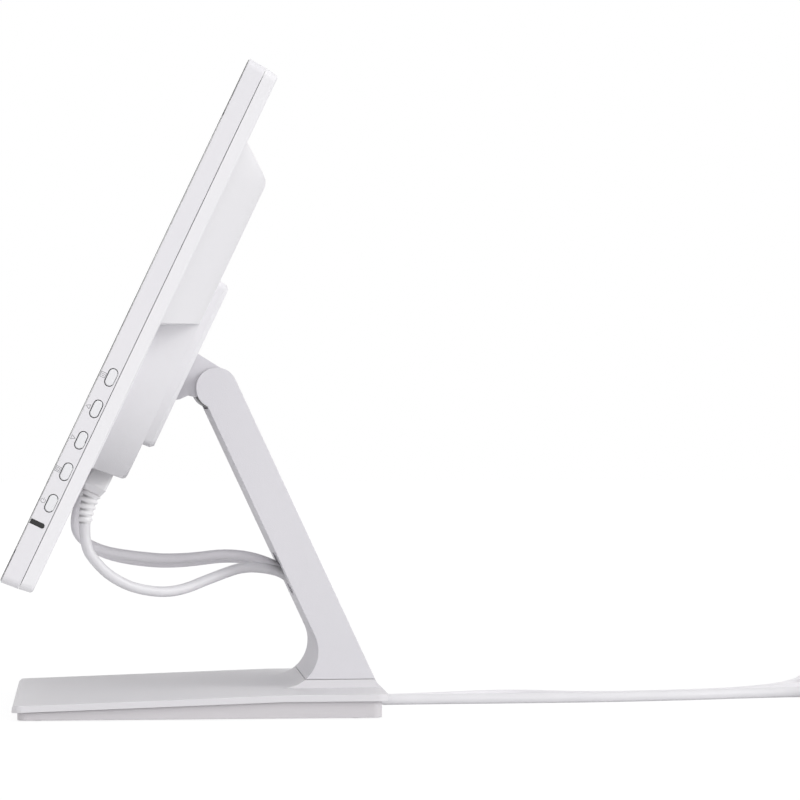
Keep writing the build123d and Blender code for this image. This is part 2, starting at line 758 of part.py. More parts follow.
arm_half = arm_width / 2
arm_inner_half = arm_half - arm_wall
arm_bottom = arm_seam_height + seam_gap
slot_half = knuckle_width / 2 + knuckle_gap
window_along = along_at(front_line, window_height)
window_origin = arm_point(window_along, front_line)
window_plane = Plane(origin=(0, window_origin[0], window_origin[1]), x_dir=(1, 0, 0),
                     z_dir=(0, -cos(lean), -sin(lean)))
with BuildPart() as arm_front_cover:
    extrude(arm_outline(arm_half, 0, arm_head_radius, arm_bottom), amount=arm_width)
    extrude(arm_outline(arm_inner_half, arm_wall, arm_head_radius + 1, arm_bottom),
            amount=2 * arm_inner_half, mode=Mode.SUBTRACT)
    with BuildSketch(Plane.YZ.offset(-slot_half)) as slot:
        with Locations((hinge_y, hinge_height)):
            Circle(arm_head_radius + knuckle_gap)
    extrude(slot.sketch, amount=2 * slot_half, mode=Mode.SUBTRACT)
    with BuildSketch(window_plane) as window:
        RectangleRounded(window_width, window_length, 8)
    extrude(window.sketch, amount=-arm_wall - 1, mode=Mode.SUBTRACT)
finish(arm_front_cover, "arm_front_cover")


def arm_slab(half, start, front, rear, end):
    """A flat piece that lies along the arm, between two of its lines, down to a height."""
    with BuildSketch(Plane.YZ.offset(-half)) as shape:
        with BuildLine():
            Polyline(arm_point(start, front), arm_point(start, rear),
                     arm_point(along_at(rear, end), rear), arm_point(along_at(front, end), front),
                     close=True)
        make_face()
    return extrude(shape.sketch, amount=2 * half)


rear_panel_front = arm_head_radius - arm_wall
rear_panel_half = arm_inner_half - part_gap
panel_start = arm_head_radius / 2 + knuckle_gap
with BuildPart() as arm_rear_cover:
    arm_slab(rear_panel_half, panel_start, rear_panel_front, arm_head_radius, arm_bottom)
finish(arm_rear_cover, "arm_rear_cover")

# The steel core of the arm: a flat bar with a lug each side of the knuckle and two feet
weight_bottom = foot_height + plinth_floor
weight_top = weight_bottom + weight_thickness
core_rear = rear_panel_front - part_gap
core_front = core_rear - core_thickness
leg_thickness = core_thickness / cos(lean)
lug_front = front_line + arm_wall + part_gap
core_start = arm_head_radius + knuckle_gap + 3
core_half = core_width / 2
core_foot_depth = 34.0
foot_back = arm_point(along_at(core_rear, arm_bottom), core_rear)[0]
core_screw_places = [(x, foot_back - back) for x in (-core_screw_x, core_screw_x) for back in (10, 26)]
with BuildPart() as arm_core:
    arm_slab(core_half, core_start, core_front, core_rear, arm_bottom)
    with Locations((0, foot_back - leg_thickness / 2, (weight_top + arm_bottom) / 2)):
        Box(core_width, leg_thickness, arm_bottom - weight_top)
    for x in (-core_lug_outer, core_lug_inner):
        with BuildSketch(Plane.YZ.offset(x)) as lug:
            with BuildLine():
                Polyline(arm_point(0, lug_front), arm_point(0, core_rear),
                         arm_point(lug_length, core_rear), arm_point(lug_length, core_front),
                         arm_point(lug_length / 2, lug_front), close=True)
            make_face()
            with Locations((hinge_y, hinge_height)):
                Circle(lug_outer_radius)
                Circle(shaft_radius, mode=Mode.SUBTRACT)
        extrude(lug.sketch, amount=lug_thickness)
    with Locations((0, foot_back - core_foot_depth / 2, weight_top + core_thickness / 2)):
        Box(core_width, core_foot_depth, core_thickness)
    with Locations((0, foot_back - core_foot_depth / 2, weight_top + 15)):
        Box(core_cord_slot, core_foot_depth + 60, 30.1, mode=Mode.SUBTRACT)
    with BuildSketch(Plane.XY) as holes:
        with Locations(*core_screw_places):
            Circle(screw_radius)
    extrude(holes.sketch, amount=weight_top + 2 * core_thickness, mode=Mode.SUBTRACT)
finish(arm_core, "arm_core")

# The base cover: a thin wedge whose top rises to the foot of the arm, and a hollow collar
# that carries the arm's lines down and sweeps out into the top.
base_half = base_width / 2
plate_rise = base_rear_height - base_front_height
plate_bottom_front = base_front_height - base_plate_thickness
plate_bottom_rear = base_rear_height - base_plate_thickness


def plate_top_at(y):
    """The height of the base's top at a distance back."""
    return base_front_height + plate_rise * min((y - front_y) / (sweep_y - front_y), 1)


base_boss_x = base_half - foot_inset
base_boss_ys = [front_y + foot_inset + 6, 0.0, sweep_y - 6]
base_boss_places = [(side * base_boss_x, y) for side in (-1, 1) for y in base_boss_ys]
collar_half = arm_half
flare_run = back_y - foot_rear_y
with BuildPart() as base_cover:
    with BuildSketch(Plane.YZ.offset(-base_half)) as plate_side:
        with BuildLine():
            Polyline((front_y, plate_bottom_front), (front_y, base_front_height),
                     (sweep_y, base_rear_height), (back_y, base_rear_height),
                     (back_y, plate_bottom_rear), (sweep_y, plate_bottom_rear), close=True)
        make_face()
        fillet(plate_side.vertices().sort_by(Axis.X)[:2].sort_by(Axis.Y)[1], base_nose_radius)
    extrude(plate_side.sketch, amount=base_width)
    long_edges = base_cover.faces().sort_by(Axis.Z)[-1].edges().filter_by(Axis.Y)
    chamfer(long_edges, base_edge_chamfer)
    with BuildSketch(Plane.XY) as plan:
        with Locations((0, (front_y + back_y) / 2)):
            RectangleRounded(base_width, base_depth, base_corner_radius)
    extrude(plan.sketch, amount=2 * base_rear_height, mode=Mode.INTERSECT)
    end_angle = asin((sweep_z - arm_seam_height) / arm_foot_sweep)
    middle_angle = (end_angle + pi / 2) / 2
    with BuildSketch(Plane.YZ.offset(-collar_half)) as collar:
        with BuildLine():
            low_front = (sweep_y, base_rear_height)
            high_front = (sweep_y + arm_foot_sweep * cos(end_angle), arm_seam_height)
            ThreePointArc(low_front, (sweep_y + arm_foot_sweep * cos(middle_angle),
                                      sweep_z - arm_foot_sweep * sin(middle_angle)), high_front)
            Polyline(high_front, (foot_rear_y, arm_seam_height),
                     (foot_rear_y + flare_run / 2, base_rear_height + flare_run / 3),
                     (back_y - 1, base_rear_height), (back_y - 1, base_rear_height - 1),
                     (sweep_y, base_rear_height - 1), low_front)
        make_face()
    extrude(collar.sketch, amount=2 * collar_half)
    # The way through for the core's feet and the cords
    cavity_front = sweep_y + (arm_foot_sweep + arm_wall) * cos(end_angle) - 1
    cavity_rear = foot_rear_y - arm_wall - part_gap
    with Locations((0, (cavity_front + cavity_rear) / 2, arm_seam_height / 2 + 4)):
        Box(2 * arm_inner_half, cavity_rear - cavity_front, arm_seam_height, mode=Mode.SUBTRACT)
    with Locations((0, cavity_rear, base_rear_height - base_plate_thickness)):
        Box(core_cord_slot, 2 * cord_notch_depth, base_plate_thickness + 1.6, mode=Mode.SUBTRACT)
    for x, y in base_boss_places:
        with BuildSketch(Plane.XY.offset(weight_bottom)) as boss:
            with Locations((x, y)):
                Circle(4)
        extrude(boss.sketch, amount=plate_top_at(y) - 1 - weight_bottom)
    with BuildSketch(Plane.XY.offset(weight_bottom)) as pilots:
        with Locations(*base_boss_places):
            Circle(screw_radius)
    extrude(pilots.sketch, amount=6, mode=Mode.SUBTRACT)
finish(base_cover, "base_cover")


plinth_top_front = plate_bottom_front - shadow_gap
plinth_top_rear = plate_bottom_rear - shadow_gap

# The plinth: a shallow tray that carries the weight and stands on four feet
with BuildPart() as base_plinth:
    with BuildSketch(Plane.YZ.offset(-base_half + plinth_inset)) as side:
        with BuildLine():
            Polyline((front_y + plinth_inset, foot_height), (front_y + plinth_inset, plinth_top_front),
                     (sweep_y, plinth_top_rear), (back_y - plinth_inset, plinth_top_rear),
                     (back_y - plinth_inset, foot_height), close=True)
        make_face()
    extrude(side.sketch, amount=base_width - 2 * plinth_inset)
    fillet(base_plinth.edges().filter_by(Axis.Z), base_corner_radius - 1)
    inner_depth = base_depth - 2 * (plinth_inset + plinth_wall)
    with Locations((0, (front_y + back_y) / 2, weight_bottom + 10)):
        Box(base_width - 2 * (plinth_inset + plinth_wall), inner_depth, 20, mode=Mode.SUBTRACT)
    with Locations((0, back_y - plinth_inset, weight_bottom + 10)):
        Box(core_cord_slot, 4 * plinth_wall, 20, mode=Mode.SUBTRACT)
    with BuildSketch(Plane.XY) as holes:
        with Locations(*base_boss_places):
            Circle(screw_radius + 0.2)
        with Locations(*core_screw_places):
            Circle(screw_head_radius + 0.3)
    extrude(holes.sketch, amount=weight_bottom + 1, mode=Mode.SUBTRACT)
finish(base_plinth, "base_plinth")

with BuildPart() as base_weight:
    weight_half = base_half - plinth_inset - plinth_wall - 2
    weight_front = front_y + plinth_inset + plinth_wall + weight_gap
    weight_back = back_y - plinth_inset - plinth_wall - weight_gap
    with BuildSketch(Plane.XY.offset(weight_bottom)) as sheet:
        with Locations((0, (weight_front + weight_back) / 2)):
            RectangleRounded(2 * weight_half, weight_back - weight_front, 4)
        with Locations(*base_boss_places):
            Circle(4.5, mode=Mode.SUBTRACT)
        with Locations(*core_screw_places):
            Circle(screw_radius + 0.2, mode=Mode.SUBTRACT)
    extrude(sheet.sketch, amount=weight_thickness)
finish(base_weight, "base_weight")


def upright_screws(places, bottom, head_height, top, shank, head):
    """Screws driven upwards, with their heads below."""
    with BuildSketch(Plane.XY.offset(bottom)) as heads:
        with Locations(*places):
            Circle(head)
    extrude(heads.sketch, amount=head_height)
    with BuildSketch(Plane.XY.offset(bottom)) as shanks:
        with Locations(*places):
            Circle(shank)
    extrude(shanks.sketch, amount=top - bottom)


with BuildPart() as base_screws:
    upright_screws(base_boss_places, foot_height - 0.6, 0.6, weight_bottom + 5, screw_radius - 0.05,
                   screw_head_radius)
finish(base_screws, "base_screws")

with BuildPart() as core_screws:
    upright_screws(core_screw_places, weight_bottom - 1.2, 1.2, weight_top + core_thickness,
                   screw_radius, screw_head_radius)
finish(core_screws, "core_screws")

foot_places = [(x, y) for x in (-base_half + foot_inset - 4, base_half - foot_inset + 4)
               for y in (front_y + foot_inset - 6, back_y - foot_inset + 2)]
with BuildPart() as rubber_feet:
    with BuildSketch(Plane.XY) as pads:
        with Locations(*foot_places):
            Circle(foot_radius)
    extrude(pads.sketch, amount=foot_height)
finish(rubber_feet, "rubber_feet")


# The cords. Each leaves its plug, droops to the arm, runs down inside it, leaves at the back
# of the base, crosses the table and ends in a coil and a plug.
def path_radii(points):
    """The radius at each corner: as large as its two runs allow."""
    radii = []
    for before, corner, after in zip(points, points[1:], points[2:]):
        first = Vector(*corner) - Vector(*before)
        second = Vector(*after) - Vector(*corner)
        half_turn = radians(first.get_angle(second)) / 2
        radii.append(0.45 * min(first.length, second.length) / tan(half_turn))
    return radii


def tube(name, points, diameter):
    """A stretch of cord: straight runs joined by arcs that meet them smoothly."""
    radii = path_radii(points)
    with BuildPart() as cord:
        with BuildLine() as route:
            FilletPolyline(*points, radius=radii)
        path = route.wires()[0]
        with BuildSketch(Plane(origin=path @ 0, z_dir=path % 0)) as section:
            RegularPolygon(diameter / 2, cord_sides)
        sweep(section.sketch, path=path)
    expected = section.sketch.area * path.length
    print(name, "length", round(path.length, 1), "radii", [round(r, 1) for r in radii],
          "volume ratio", round(cord.part.volume / expected, 4))
    finish(cord, name)
    return path.length


def biarc(start, start_way, end, end_way):
    """Two arcs that join two points smoothly, leaving and arriving along the given ways."""
    chord = end - start
    ways = start_way + end_way
    bend = 2 * (1 - start_way.dot(end_way))
    along = chord.dot(ways)
    reach = chord.dot(chord) / (sqrt(along ** 2 + bend * chord.dot(chord)) + along)
    joint = (start + end + (start_way - end_way) * reach) * 0.5
    first = TangentArc(start, joint, tangent=start_way)
    second = TangentArc(joint, end, tangent=first % 1)
    return first, second


def coil_stations(entry, heading, side, diameter, gap, radius, turns_in, turns_out):
    """Points and ways along a coil in two layers, a quarter turn apart.

    It spirals in on the table, climbs a layer in the half turn where it reverses, and
    spirals out on top."""
    pitch = diameter + gap
    centre = (entry[0] + side * radius * sin(heading), entry[1] - side * radius * cos(heading))
    quarters_in = round(4 * turns_in)
    quarters_out = round(4 * turns_out)
    stations = []
    for quarter in range(quarters_in + 2 + quarters_out + 1):
        climbed = min(max(quarter - quarters_in, 0), 2)
        inward = min(quarter, quarters_in + 1)
        outward = max(quarter - quarters_in - 1, 0)
        here = radius - pitch * (inward - outward) / 4
        slope_in = 0 if quarter in (0, quarters_in + 1) else pitch / (2 * pi)
        slope_in = -slope_in if quarter <= quarters_in else slope_in
        slope_up = pitch / (pi * here) if climbed == 1 else 0
        angle = heading + side * (pi / 2 - quarter * pi / 2)
        out = Vector(cos(angle), sin(angle), 0)
        ahead = Vector(side * sin(angle), -side * cos(angle), 0)
        point = Vector(centre[0], centre[1], entry[2] + pitch * climbed / 2) + out * here
        way = (ahead + out * (slope_in / here) + Vector(0, 0, slope_up * 1.5)).normalized()
        stations.append((point, way))
    return stations


def coil(name, stations, tail, diameter):
    """One unbroken tube along a coil's stations, with straight ends a diameter long."""
    first, first_way = stations[0]
    last, last_way = tail[-1]
    with BuildPart() as turns:
        with BuildLine() as route:
            Line(first - first_way * diameter, first)
            joined = stations + tail
            for (start, start_way), (end, end_way) in zip(joined, joined[1:]):
                biarc(start, start_way, end, end_way)
            Line(last, last + last_way * diameter)
        path = route.wires()[0]
        with BuildSketch(Plane(origin=first - first_way * diameter, z_dir=first_way)) as section:
            RegularPolygon(diameter / 2, cord_sides)
        sweep(section.sketch, path=path)
    samples = [tuple(path @ (n / coil_samples)) for n in range(coil_samples + 1)]
    apart = ceil(2.5 * diameter * coil_samples / path.length)
    least = min(dist(samples[i], other) for i in range(coil_samples)
                for other in samples[i + apart:])
    expected = section.sketch.area * path.length
    print(name, "length", round(path.length, 1), "least gap to itself", round(least - diameter, 2),
          "volume ratio", round(turns.part.volume / expected, 4))
    finish(turns, name)
    return path.length


# The plugs on the head. Each has a nose in its socket, a moulded body and a ribbed relief that
# bends from the slope of the head towards the way the cord hangs.
def ribbed_relief(start, lean_start, lean_end, length, ribs, wide, narrow, x):
    """Circles for a tapered relief in a side plane, and the point and way where it ends."""
    sections = []
    steps = 4 * ribs
    bend = (lean_start - lean_end) / length
    for step in range(steps + 1):
        way_lean = lean_start - bend * length * step / steps
        if abs(bend) > 1e-6:
            point = (start[0] - (cos(way_lean) - cos(lean_start)) / bend,
                     start[1] - (sin(lean_start) - sin(way_lean)) / bend)
        else:
            point = (start[0] - sin(lean_start) * length * step / steps,
                     start[1] - cos(lean_start) * length * step / steps)
        way = (0, -sin(way_lean), -cos(way_lean))
        core = wide + (narrow - wide) * step / steps
        radius = core * (1.22 if step % 4 in (1, 2) else 1.0)
        station = Plane(origin=(x, point[0], point[1]), x_dir=(1, 0, 0), z_dir=way)
        with BuildSketch(station) as ring:
            Circle(radius)
        sections.append(ring.sketch)
    return sections, Vector(x, point[0], point[1]), Vector(*way)


def head_plug(name, x, depth, top_up, nose, nose_length, body, body_length, relief):
    """A plug that points up the slope into its socket. Gives where its cord leaves it."""
    lean_end, length, ribs, wide, narrow = relief
    shoulder = body_length / 4
    base_up = top_up - body_length
    with BuildPart() as plug:
        with BuildSketch(head_shelf(top_up)) as nose_shape:
            with Locations((x, depth)):
                RectangleRounded(nose[0] - 2 * part_gap, nose[1] - 2 * part_gap, 0.6)
        extrude(nose_shape.sketch, amount=nose_length)
        with BuildSketch(head_shelf(top_up)) as top:
            with Locations((x, depth)):
                RectangleRounded(body[0], body[1], 2)
        extrude(top.sketch, amount=-(body_length - shoulder))
        with BuildSketch(head_shelf(base_up + shoulder)) as wide_end:
            with Locations((x, depth)):
                RectangleRounded(body[0], body[1], 2)
        with BuildSketch(head_shelf(base_up)) as narrow_end:
            with Locations((x, depth)):
                RectangleRounded(2.5 * wide, 2.2 * wide, 1.6)
        loft([wide_end.sketch, narrow_end.sketch], ruled=True)
        foot = on_head(x, depth, base_up)
        sections, end, way = ribbed_relief((foot.Y, foot.Z), slope, lean_end, length, ribs,
                                           wide, narrow, x)
        loft(sections, ruled=True)
    finish(plug, name)
    return end, way


recessed_up = bulge_bottom - part_gap
flush_up = bulge_bottom - bulge_bottom_draft - part_gap
power_end, power_way = head_plug("power_plug", power_socket_x, inlet_depth, recessed_up, inlet_cavity, 14,
                                 (26.4, 14.8), 17.7, (radians(1.5), 21, 5, 5.4, 3.7))
video_end, video_way = head_plug("video_plug", video_socket_x, signal_depth, flush_up, video_nose_size, 9,
                                 (19.5, 9.4), 15, (slope, 8, 3, 4.0, 3.4))
usb_end, usb_way = head_plug("usb_plug", usb_socket_x, signal_depth, flush_up, usb_nose_size, 9,
                             (14.5, 9.2), 14, (slope, 8, 3, 3.4, 2.6))

# Where the cords lie in the arm, and the way they turn out at its foot
duct_line = -0.9
duct_top = 86.0
split_below_window = 32.0


def duct_point(x, height):
    y, z = arm_point(along_at(duct_line, height), duct_line)
    return (x, y, z)


def end_plug(name, start, way, diameter, body, length, nose, nose_length, nose_name):
    """The plug at a cord's far end, lying on the table, and its metal nose or pins."""
    side = way.cross(Vector(0, 0, 1))
    relief_length = 3 * diameter

    def across(distance, size, radius):
        with BuildSketch(Plane(origin=start + way * distance, x_dir=side, z_dir=way)) as shape:
            if size:
                RectangleRounded(size[0], size[1], radius)
            else:
                Circle(radius)
        return shape.sketch

    with BuildPart() as plug:
        rings = []
        for step in range(13):
            core = diameter / 2 + 0.6 + 0.07 * step
            rings.append(across(relief_length * step / 12, None, core * (1.2 if step % 4 in (1, 2) else 1)))
        loft(rings, ruled=True)
        loft([across(relief_length, (body[0] * 0.7, body[1] * 0.7), 2),
              across(relief_length + length / 4, body, 2.5),
              across(relief_length + length, body, 2.5)], ruled=True)
    finish(plug, name)
    with BuildPart() as metal:
        with BuildSketch(Plane(origin=start + way * (relief_length + length), x_dir=side, z_dir=way)) as tips:
            for place, shape in nose:
                with Locations(place):
                    if len(shape) == 1:
                        Circle(shape[0])
                    else:
                        Rectangle(shape[0], shape[1])
        extrude(tips.sketch, amount=nose_length)
    finish(metal, nose_name)


def lay_cord(name, diameter, start, start_way, lead, front, x, table, radius, turns_in, turns_out,
             tail_reach, plug_height):
    """The whole cord from its plug on the head to its coil; gives where its last plug starts."""
    bend = Vector(*duct_point(x, duct_top))
    floor_corner = Vector(*duct_point(x, diameter / 2))
    split = bend + (floor_corner - bend).normalized() * split_below_window
    front_points = [tuple(start), tuple(start + start_way * lead)] + front + [tuple(bend), tuple(split)]
    rear_points = [tuple(split), tuple(floor_corner)] + [(a, b, diameter / 2) for a, b in table]
    length = tube(f"{name}_front", front_points, diameter)
    length += tube(f"{name}_rear", rear_points, diameter)
    last_run = Vector(*rear_points[-1]) - Vector(*rear_points[-2])
    heading = atan2(last_run.Y, last_run.X)
    way = Vector(cos(heading), sin(heading), 0)
    entry = Vector(*rear_points[-1]) + way * diameter
    stations = coil_stations(tuple(entry), heading, 1, diameter, coil_gap, radius, turns_in, turns_out)
    last, last_way = stations[-1]
    level_way = Vector(last_way.X, last_way.Y, 0).normalized()
    aside = level_way.cross(Vector(0, 0, 1)) * -tail_drift
    landing = Vector(last.X, last.Y, plug_height) + level_way * tail_reach + aside
    length += coil(f"{name}_coil", stations, [(landing, level_way)], diameter)
    print(name, "whole length", round(length, 1))
    return landing + level_way * diameter, level_way


# Points chosen by hand, from the relief to the arm, and then across the table
coil_gap = 0.8
coil_samples = 900
tail_drift = 6.0
power_front = [(59.0, -67.5, 97.5), (55.0, -56.5, 86.5), (49.0, -39.0, 79.0), (39.0, -14.0, 77.2),
               (27.0, 12.5, 87.5), (16.0, 36.5, 95.5)]
power_table = [(-2.0, 180.0), (2.0, 255.0), (-6.0, 322.0), (-22.0, 386.0), (-27.0, 430.0),
               (-38.0, 458.0)]
video_front = [(-17.5, -78.5, 111.0), (-16.0, -66.2, 99.7), (-14.0, -45.0, 97.5),
               (-11.0, -12.0, 96.5), (-6.0, 32.0, 101.5)]
video_table = [(-9.0, 166.0), (-36.0, 212.0), (-12.0, 262.0), (-15.0, 308.0), (-26.0, 354.0),
               (-48.0, 400.0), (-85.0, 438.0), (-122.0, 465.0)]
usb_front = [(-44.0, -79.0, 112.0), (-40.0, -66.0, 99.0), (-35.0, -45.0, 92.5),
             (-27.0, -13.0, 90.5), (-18.0, 32.0, 101.5)]
usb_table = [(-21.0, 164.0), (-47.0, 208.0), (-25.0, 262.0), (-28.0, 306.0), (-38.0, 346.0),
             (-58.0, 384.0), (-92.0, 420.0), (-150.0, 446.0), (-200.0, 459.0)]

start, way = lay_cord("power_cord", power_cord, power_end, power_way, 14.5, power_front, 8.0,
                      power_table, 48.0, 2, 1.75, 46.0, 11.5)
end_plug("mains_plug", start, way, power_cord, (30.0, 23.0), 30.0,
         [((-6.35, 4.0), (1.5, 6.4)), ((6.35, 4.0), (1.5, 6.4)), ((0.0, -6.0), (2.4,))], 17.0,
         "mains_pins")
start, way = lay_cord("video_cord", video_cord, video_end, video_way, 12.0, video_front, -3.0,
                      video_table, 46.0, 2, 1.75, 42.0, 5.8)
end_plug("video_end_plug", start, way, video_cord, (20.5, 11.6), 26.0, [((0, 0), (14.0, 4.6))], 11.0,
         "video_end_nose")
start, way = lay_cord("usb_cord", usb_cord, usb_end, usb_way, 14.0, usb_front, -13.0,
                      usb_table, 36.0, 3, 2.75, 36.0, 4.6)
end_plug("usb_end_plug", start, way, usb_cord, (16.0, 9.2), 22.0, [((0, 0), (12.0, 4.5))], 12.0,
         "usb_end_nose")
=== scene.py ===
# %% [markdown]
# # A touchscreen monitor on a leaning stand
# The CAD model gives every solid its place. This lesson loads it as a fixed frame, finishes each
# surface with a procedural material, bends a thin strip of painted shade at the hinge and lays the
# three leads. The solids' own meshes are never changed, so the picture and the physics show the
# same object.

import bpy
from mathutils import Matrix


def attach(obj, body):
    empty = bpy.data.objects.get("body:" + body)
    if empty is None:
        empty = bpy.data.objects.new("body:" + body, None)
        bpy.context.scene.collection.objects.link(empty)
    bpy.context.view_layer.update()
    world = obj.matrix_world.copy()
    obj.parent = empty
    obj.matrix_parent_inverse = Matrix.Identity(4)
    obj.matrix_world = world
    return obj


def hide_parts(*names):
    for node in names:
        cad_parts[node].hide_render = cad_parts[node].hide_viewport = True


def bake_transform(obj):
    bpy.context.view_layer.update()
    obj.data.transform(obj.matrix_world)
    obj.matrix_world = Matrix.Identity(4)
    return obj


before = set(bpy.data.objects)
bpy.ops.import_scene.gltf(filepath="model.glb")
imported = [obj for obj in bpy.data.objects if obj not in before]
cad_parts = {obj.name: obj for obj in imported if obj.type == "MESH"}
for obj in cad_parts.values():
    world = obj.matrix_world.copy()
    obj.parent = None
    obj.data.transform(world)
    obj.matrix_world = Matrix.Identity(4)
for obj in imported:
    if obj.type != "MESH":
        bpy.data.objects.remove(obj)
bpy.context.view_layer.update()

# %% Tools from Python and Blender
from functools import partial
from math import atan2, cos, pi, radians, sin

import bmesh
import bpy
from mathutils import Vector

scene = bpy.context.scene


def add_object(name, data):
    """An object at the origin, put in the scene."""
    made = bpy.data.objects.new(name, data)
    scene.collection.objects.link(made)
    return made


print("working in the scene", scene.name)

# %% [markdown]
# ## The camera
# The monitor is seen from its own right side, nearly square on, from far away. A short lens close
# by would show more of its depth, but a long one at 2.2 m keeps the two ends of the base nearly the
# same size. The camera stands level, because the upright edges of the object don't lean towards
# each other.

# %% Place the camera
lens_length, sensor_width = 147.96, 36.0
nearest_seen, farthest_seen = 0.05, 30.0
camera_place = (2.2, -0.0662, 0.2043)
camera_turn = radians(5.3)
camera_data = bpy.data.cameras.new("side_camera")
camera_data.lens = lens_length
camera_data.sensor_width = sensor_width
camera_data.clip_start = nearest_seen
camera_data.clip_end = farthest_seen
camera = add_object("side_camera", camera_data)
camera.location = camera_place
looking = Vector((-cos(camera_turn), sin(camera_turn), 0))
camera.rotation_euler = looking.to_track_quat("-Z", "Y").to_euler()
scene.camera = camera
scene.view_settings.view_transform = "Standard"
print("camera at", camera_place, "looking along", tuple(round(v, 3) for v in looking))

# %% [markdown]
# ## Nodes, step by step
# A material is a tree of nodes, and most nodes here are made the same way: a kind, a few settings,
# some numbers and a link. Writing each out takes five lines, so a helper makes any node and two
# more make a step of arithmetic and a change of range. The rest of the lesson reads like sums.

# %% Helpers for nodes


def add_node(tree, kind, values=None, **settings):
    """A new node with these settings, and these numbers on its named sockets."""
    node = tree.nodes.new(kind)
    for setting, value in settings.items():
        setattr(node, setting, value)
    for socket, value in (values or {}).items():
        node.inputs[socket].default_value = value
    return node


def value_step(tree, operation, first, second, clamped=False):
    """The result of a calculation on a socket and a second socket or number."""
    node = add_node(tree, "ShaderNodeMath", operation=operation, use_clamp=clamped)
    tree.links.new(first, node.inputs[0])
    if isinstance(second, float):
        node.inputs[1].default_value = second
    else:
        tree.links.new(second, node.inputs[1])
    return node.outputs[0]


def change_range(tree, value, old_range, new_range):
    """A value carried from an old range to a new one, and held inside it."""
    old_low, old_high = old_range
    new_low, new_high = new_range
    ends = {"From Min": old_low, "From Max": old_high, "To Min": new_low, "To Max": new_high}
    node = add_node(tree, "ShaderNodeMapRange", ends)
    tree.links.new(value, node.inputs["Value"])
    return node.outputs["Result"]


print("helpers ready for math and range nodes")

# %% [markdown]
# ## Light, floor and background
# White plastic on white needs light from one side, or its faces run together. A broad sun on the
# camera's side lights the faces that look at it, one behind models the curves, and weaker ones
# fill the top and the front. The world gives the rest. Area lamps would do too, but they fall off
# with distance, and the long leads would grow dark at their far end. The world is pure white only
# where the camera, a mirror or a glass looks straight at it, so the white background adds no light.

# %% Light the studio
pure_white = (1, 1, 1, 1)
world_tint, world_strength = (1.0, 0.995, 1.0, 1), 0.5


def ray_mask(tree, kinds):
    """One where the ray is of one of these kinds, and zero elsewhere."""
    rays = tree.nodes.new("ShaderNodeLightPath")
    mask = rays.outputs[kinds[0]]
    for kind in kinds[1:]:
        mask = value_step(tree, "MAXIMUM", mask, rays.outputs[kind])
    return mask


def choose_shader(tree, mask, lit, seen, output):
    """Lead the lit shader to the output where the mask is zero, and the seen one where it is one."""
    choose = tree.nodes.new("ShaderNodeMixShader")
    tree.links.new(mask, choose.inputs["Fac"])
    tree.links.new(lit.outputs[0], choose.inputs[1])
    tree.links.new(seen.outputs[0], choose.inputs[2])
    tree.links.new(choose.outputs[0], tree.nodes[output].inputs["Surface"])


world = bpy.data.worlds.new("studio_world")
scene.world = world
world.use_nodes = True
world_tree = world.node_tree
lit_world = world_tree.nodes["Background"]
lit_world.inputs["Color"].default_value = world_tint
lit_world.inputs["Strength"].default_value = world_strength
seen_world = add_node(world_tree, "ShaderNodeBackground", {"Color": pure_white})
straight = ray_mask(world_tree, ["Is Camera Ray", "Is Glossy Ray", "Is Transmission Ray"])
choose_shader(world_tree, straight, lit_world, seen_world, "World Output")
print("world lights with strength", world_strength)

# %% Hang the lamps


def add_sun(name, towards, strength, spread):
    """A broad sun whose light travels along the direction given."""
    data = bpy.data.lights.new(name, "SUN")
    data.energy = strength
    data.angle = radians(spread)
    lamp = add_object(name, data)
    lamp.rotation_euler = Vector(towards).to_track_quat("-Z", "Y").to_euler()
    print("lamp", name, "strength", strength)


add_sun("side_light", towards=(-0.95, 0.0, -0.2), strength=0.49, spread=50)
add_sun("top_light", towards=(-0.1, 0.1, -1.0), strength=0.38, spread=80)
add_sun("rear_light", towards=(-0.5, -0.76, -0.36), strength=1.2, spread=35)
add_sun("front_fill", towards=(-0.25, 0.9, -0.35), strength=0.28, spread=60)

# %% [markdown]
# The floor is a plain pale sheet. To the camera and in reflections it is mostly a white emission,
# so that it meets the background without a line, and partly a real diffuse surface, so that the
# object's shadow still falls on it. Every other ray sees the diffuse sheet alone, so the emission
# lights nothing. A shadow catcher could do the same, but needs a picture joined to it afterwards.

# %% Lay the floor
floor_reach = 6.0
floor_grey = (0.82, 0.82, 0.83, 1)
glow_strength, glow_share = 1.12, 0.8


def add_piece(name, shape, material):
    """A finished bmesh as an object with one material."""
    mesh = bpy.data.meshes.new(name)
    shape.to_mesh(mesh)
    shape.free()
    mesh.materials.append(material)
    return add_object(name, mesh)


floor_finish = bpy.data.materials.new("pale_floor")
floor_finish.use_nodes = True
floor_tree = floor_finish.node_tree
floor_tree.nodes.remove(floor_tree.nodes["Principled BSDF"])
pale = add_node(floor_tree, "ShaderNodeBsdfDiffuse", {"Color": floor_grey})
glow = add_node(floor_tree, "ShaderNodeEmission", {"Strength": glow_strength})
looked_at = ray_mask(floor_tree, ["Is Camera Ray", "Is Glossy Ray"])
choose_shader(floor_tree, value_step(floor_tree, "MULTIPLY", looked_at, glow_share),
              pale, glow, "Material Output")
sheet = bmesh.new()
bmesh.ops.create_grid(sheet, x_segments=1, y_segments=1, size=floor_reach)
floor = add_piece("floor", sheet, floor_finish)
print("floor laid,", 2 * floor_reach, "m wide")

# %% [markdown]
# ## Shared surface effects
# Most of the object is the same kind of thing: injection-moulded plastic. Its tone drifts a
# little over a hand's width, and its skin carries a fine grain from the mould. Each material could
# hold its own copy of these nodes, but then a change has to be made in all of them. As node groups
# they are built once, and each material places them with its own values. They put out only colours
# and values, and the shader stays in the material.

# %% A node group's shell


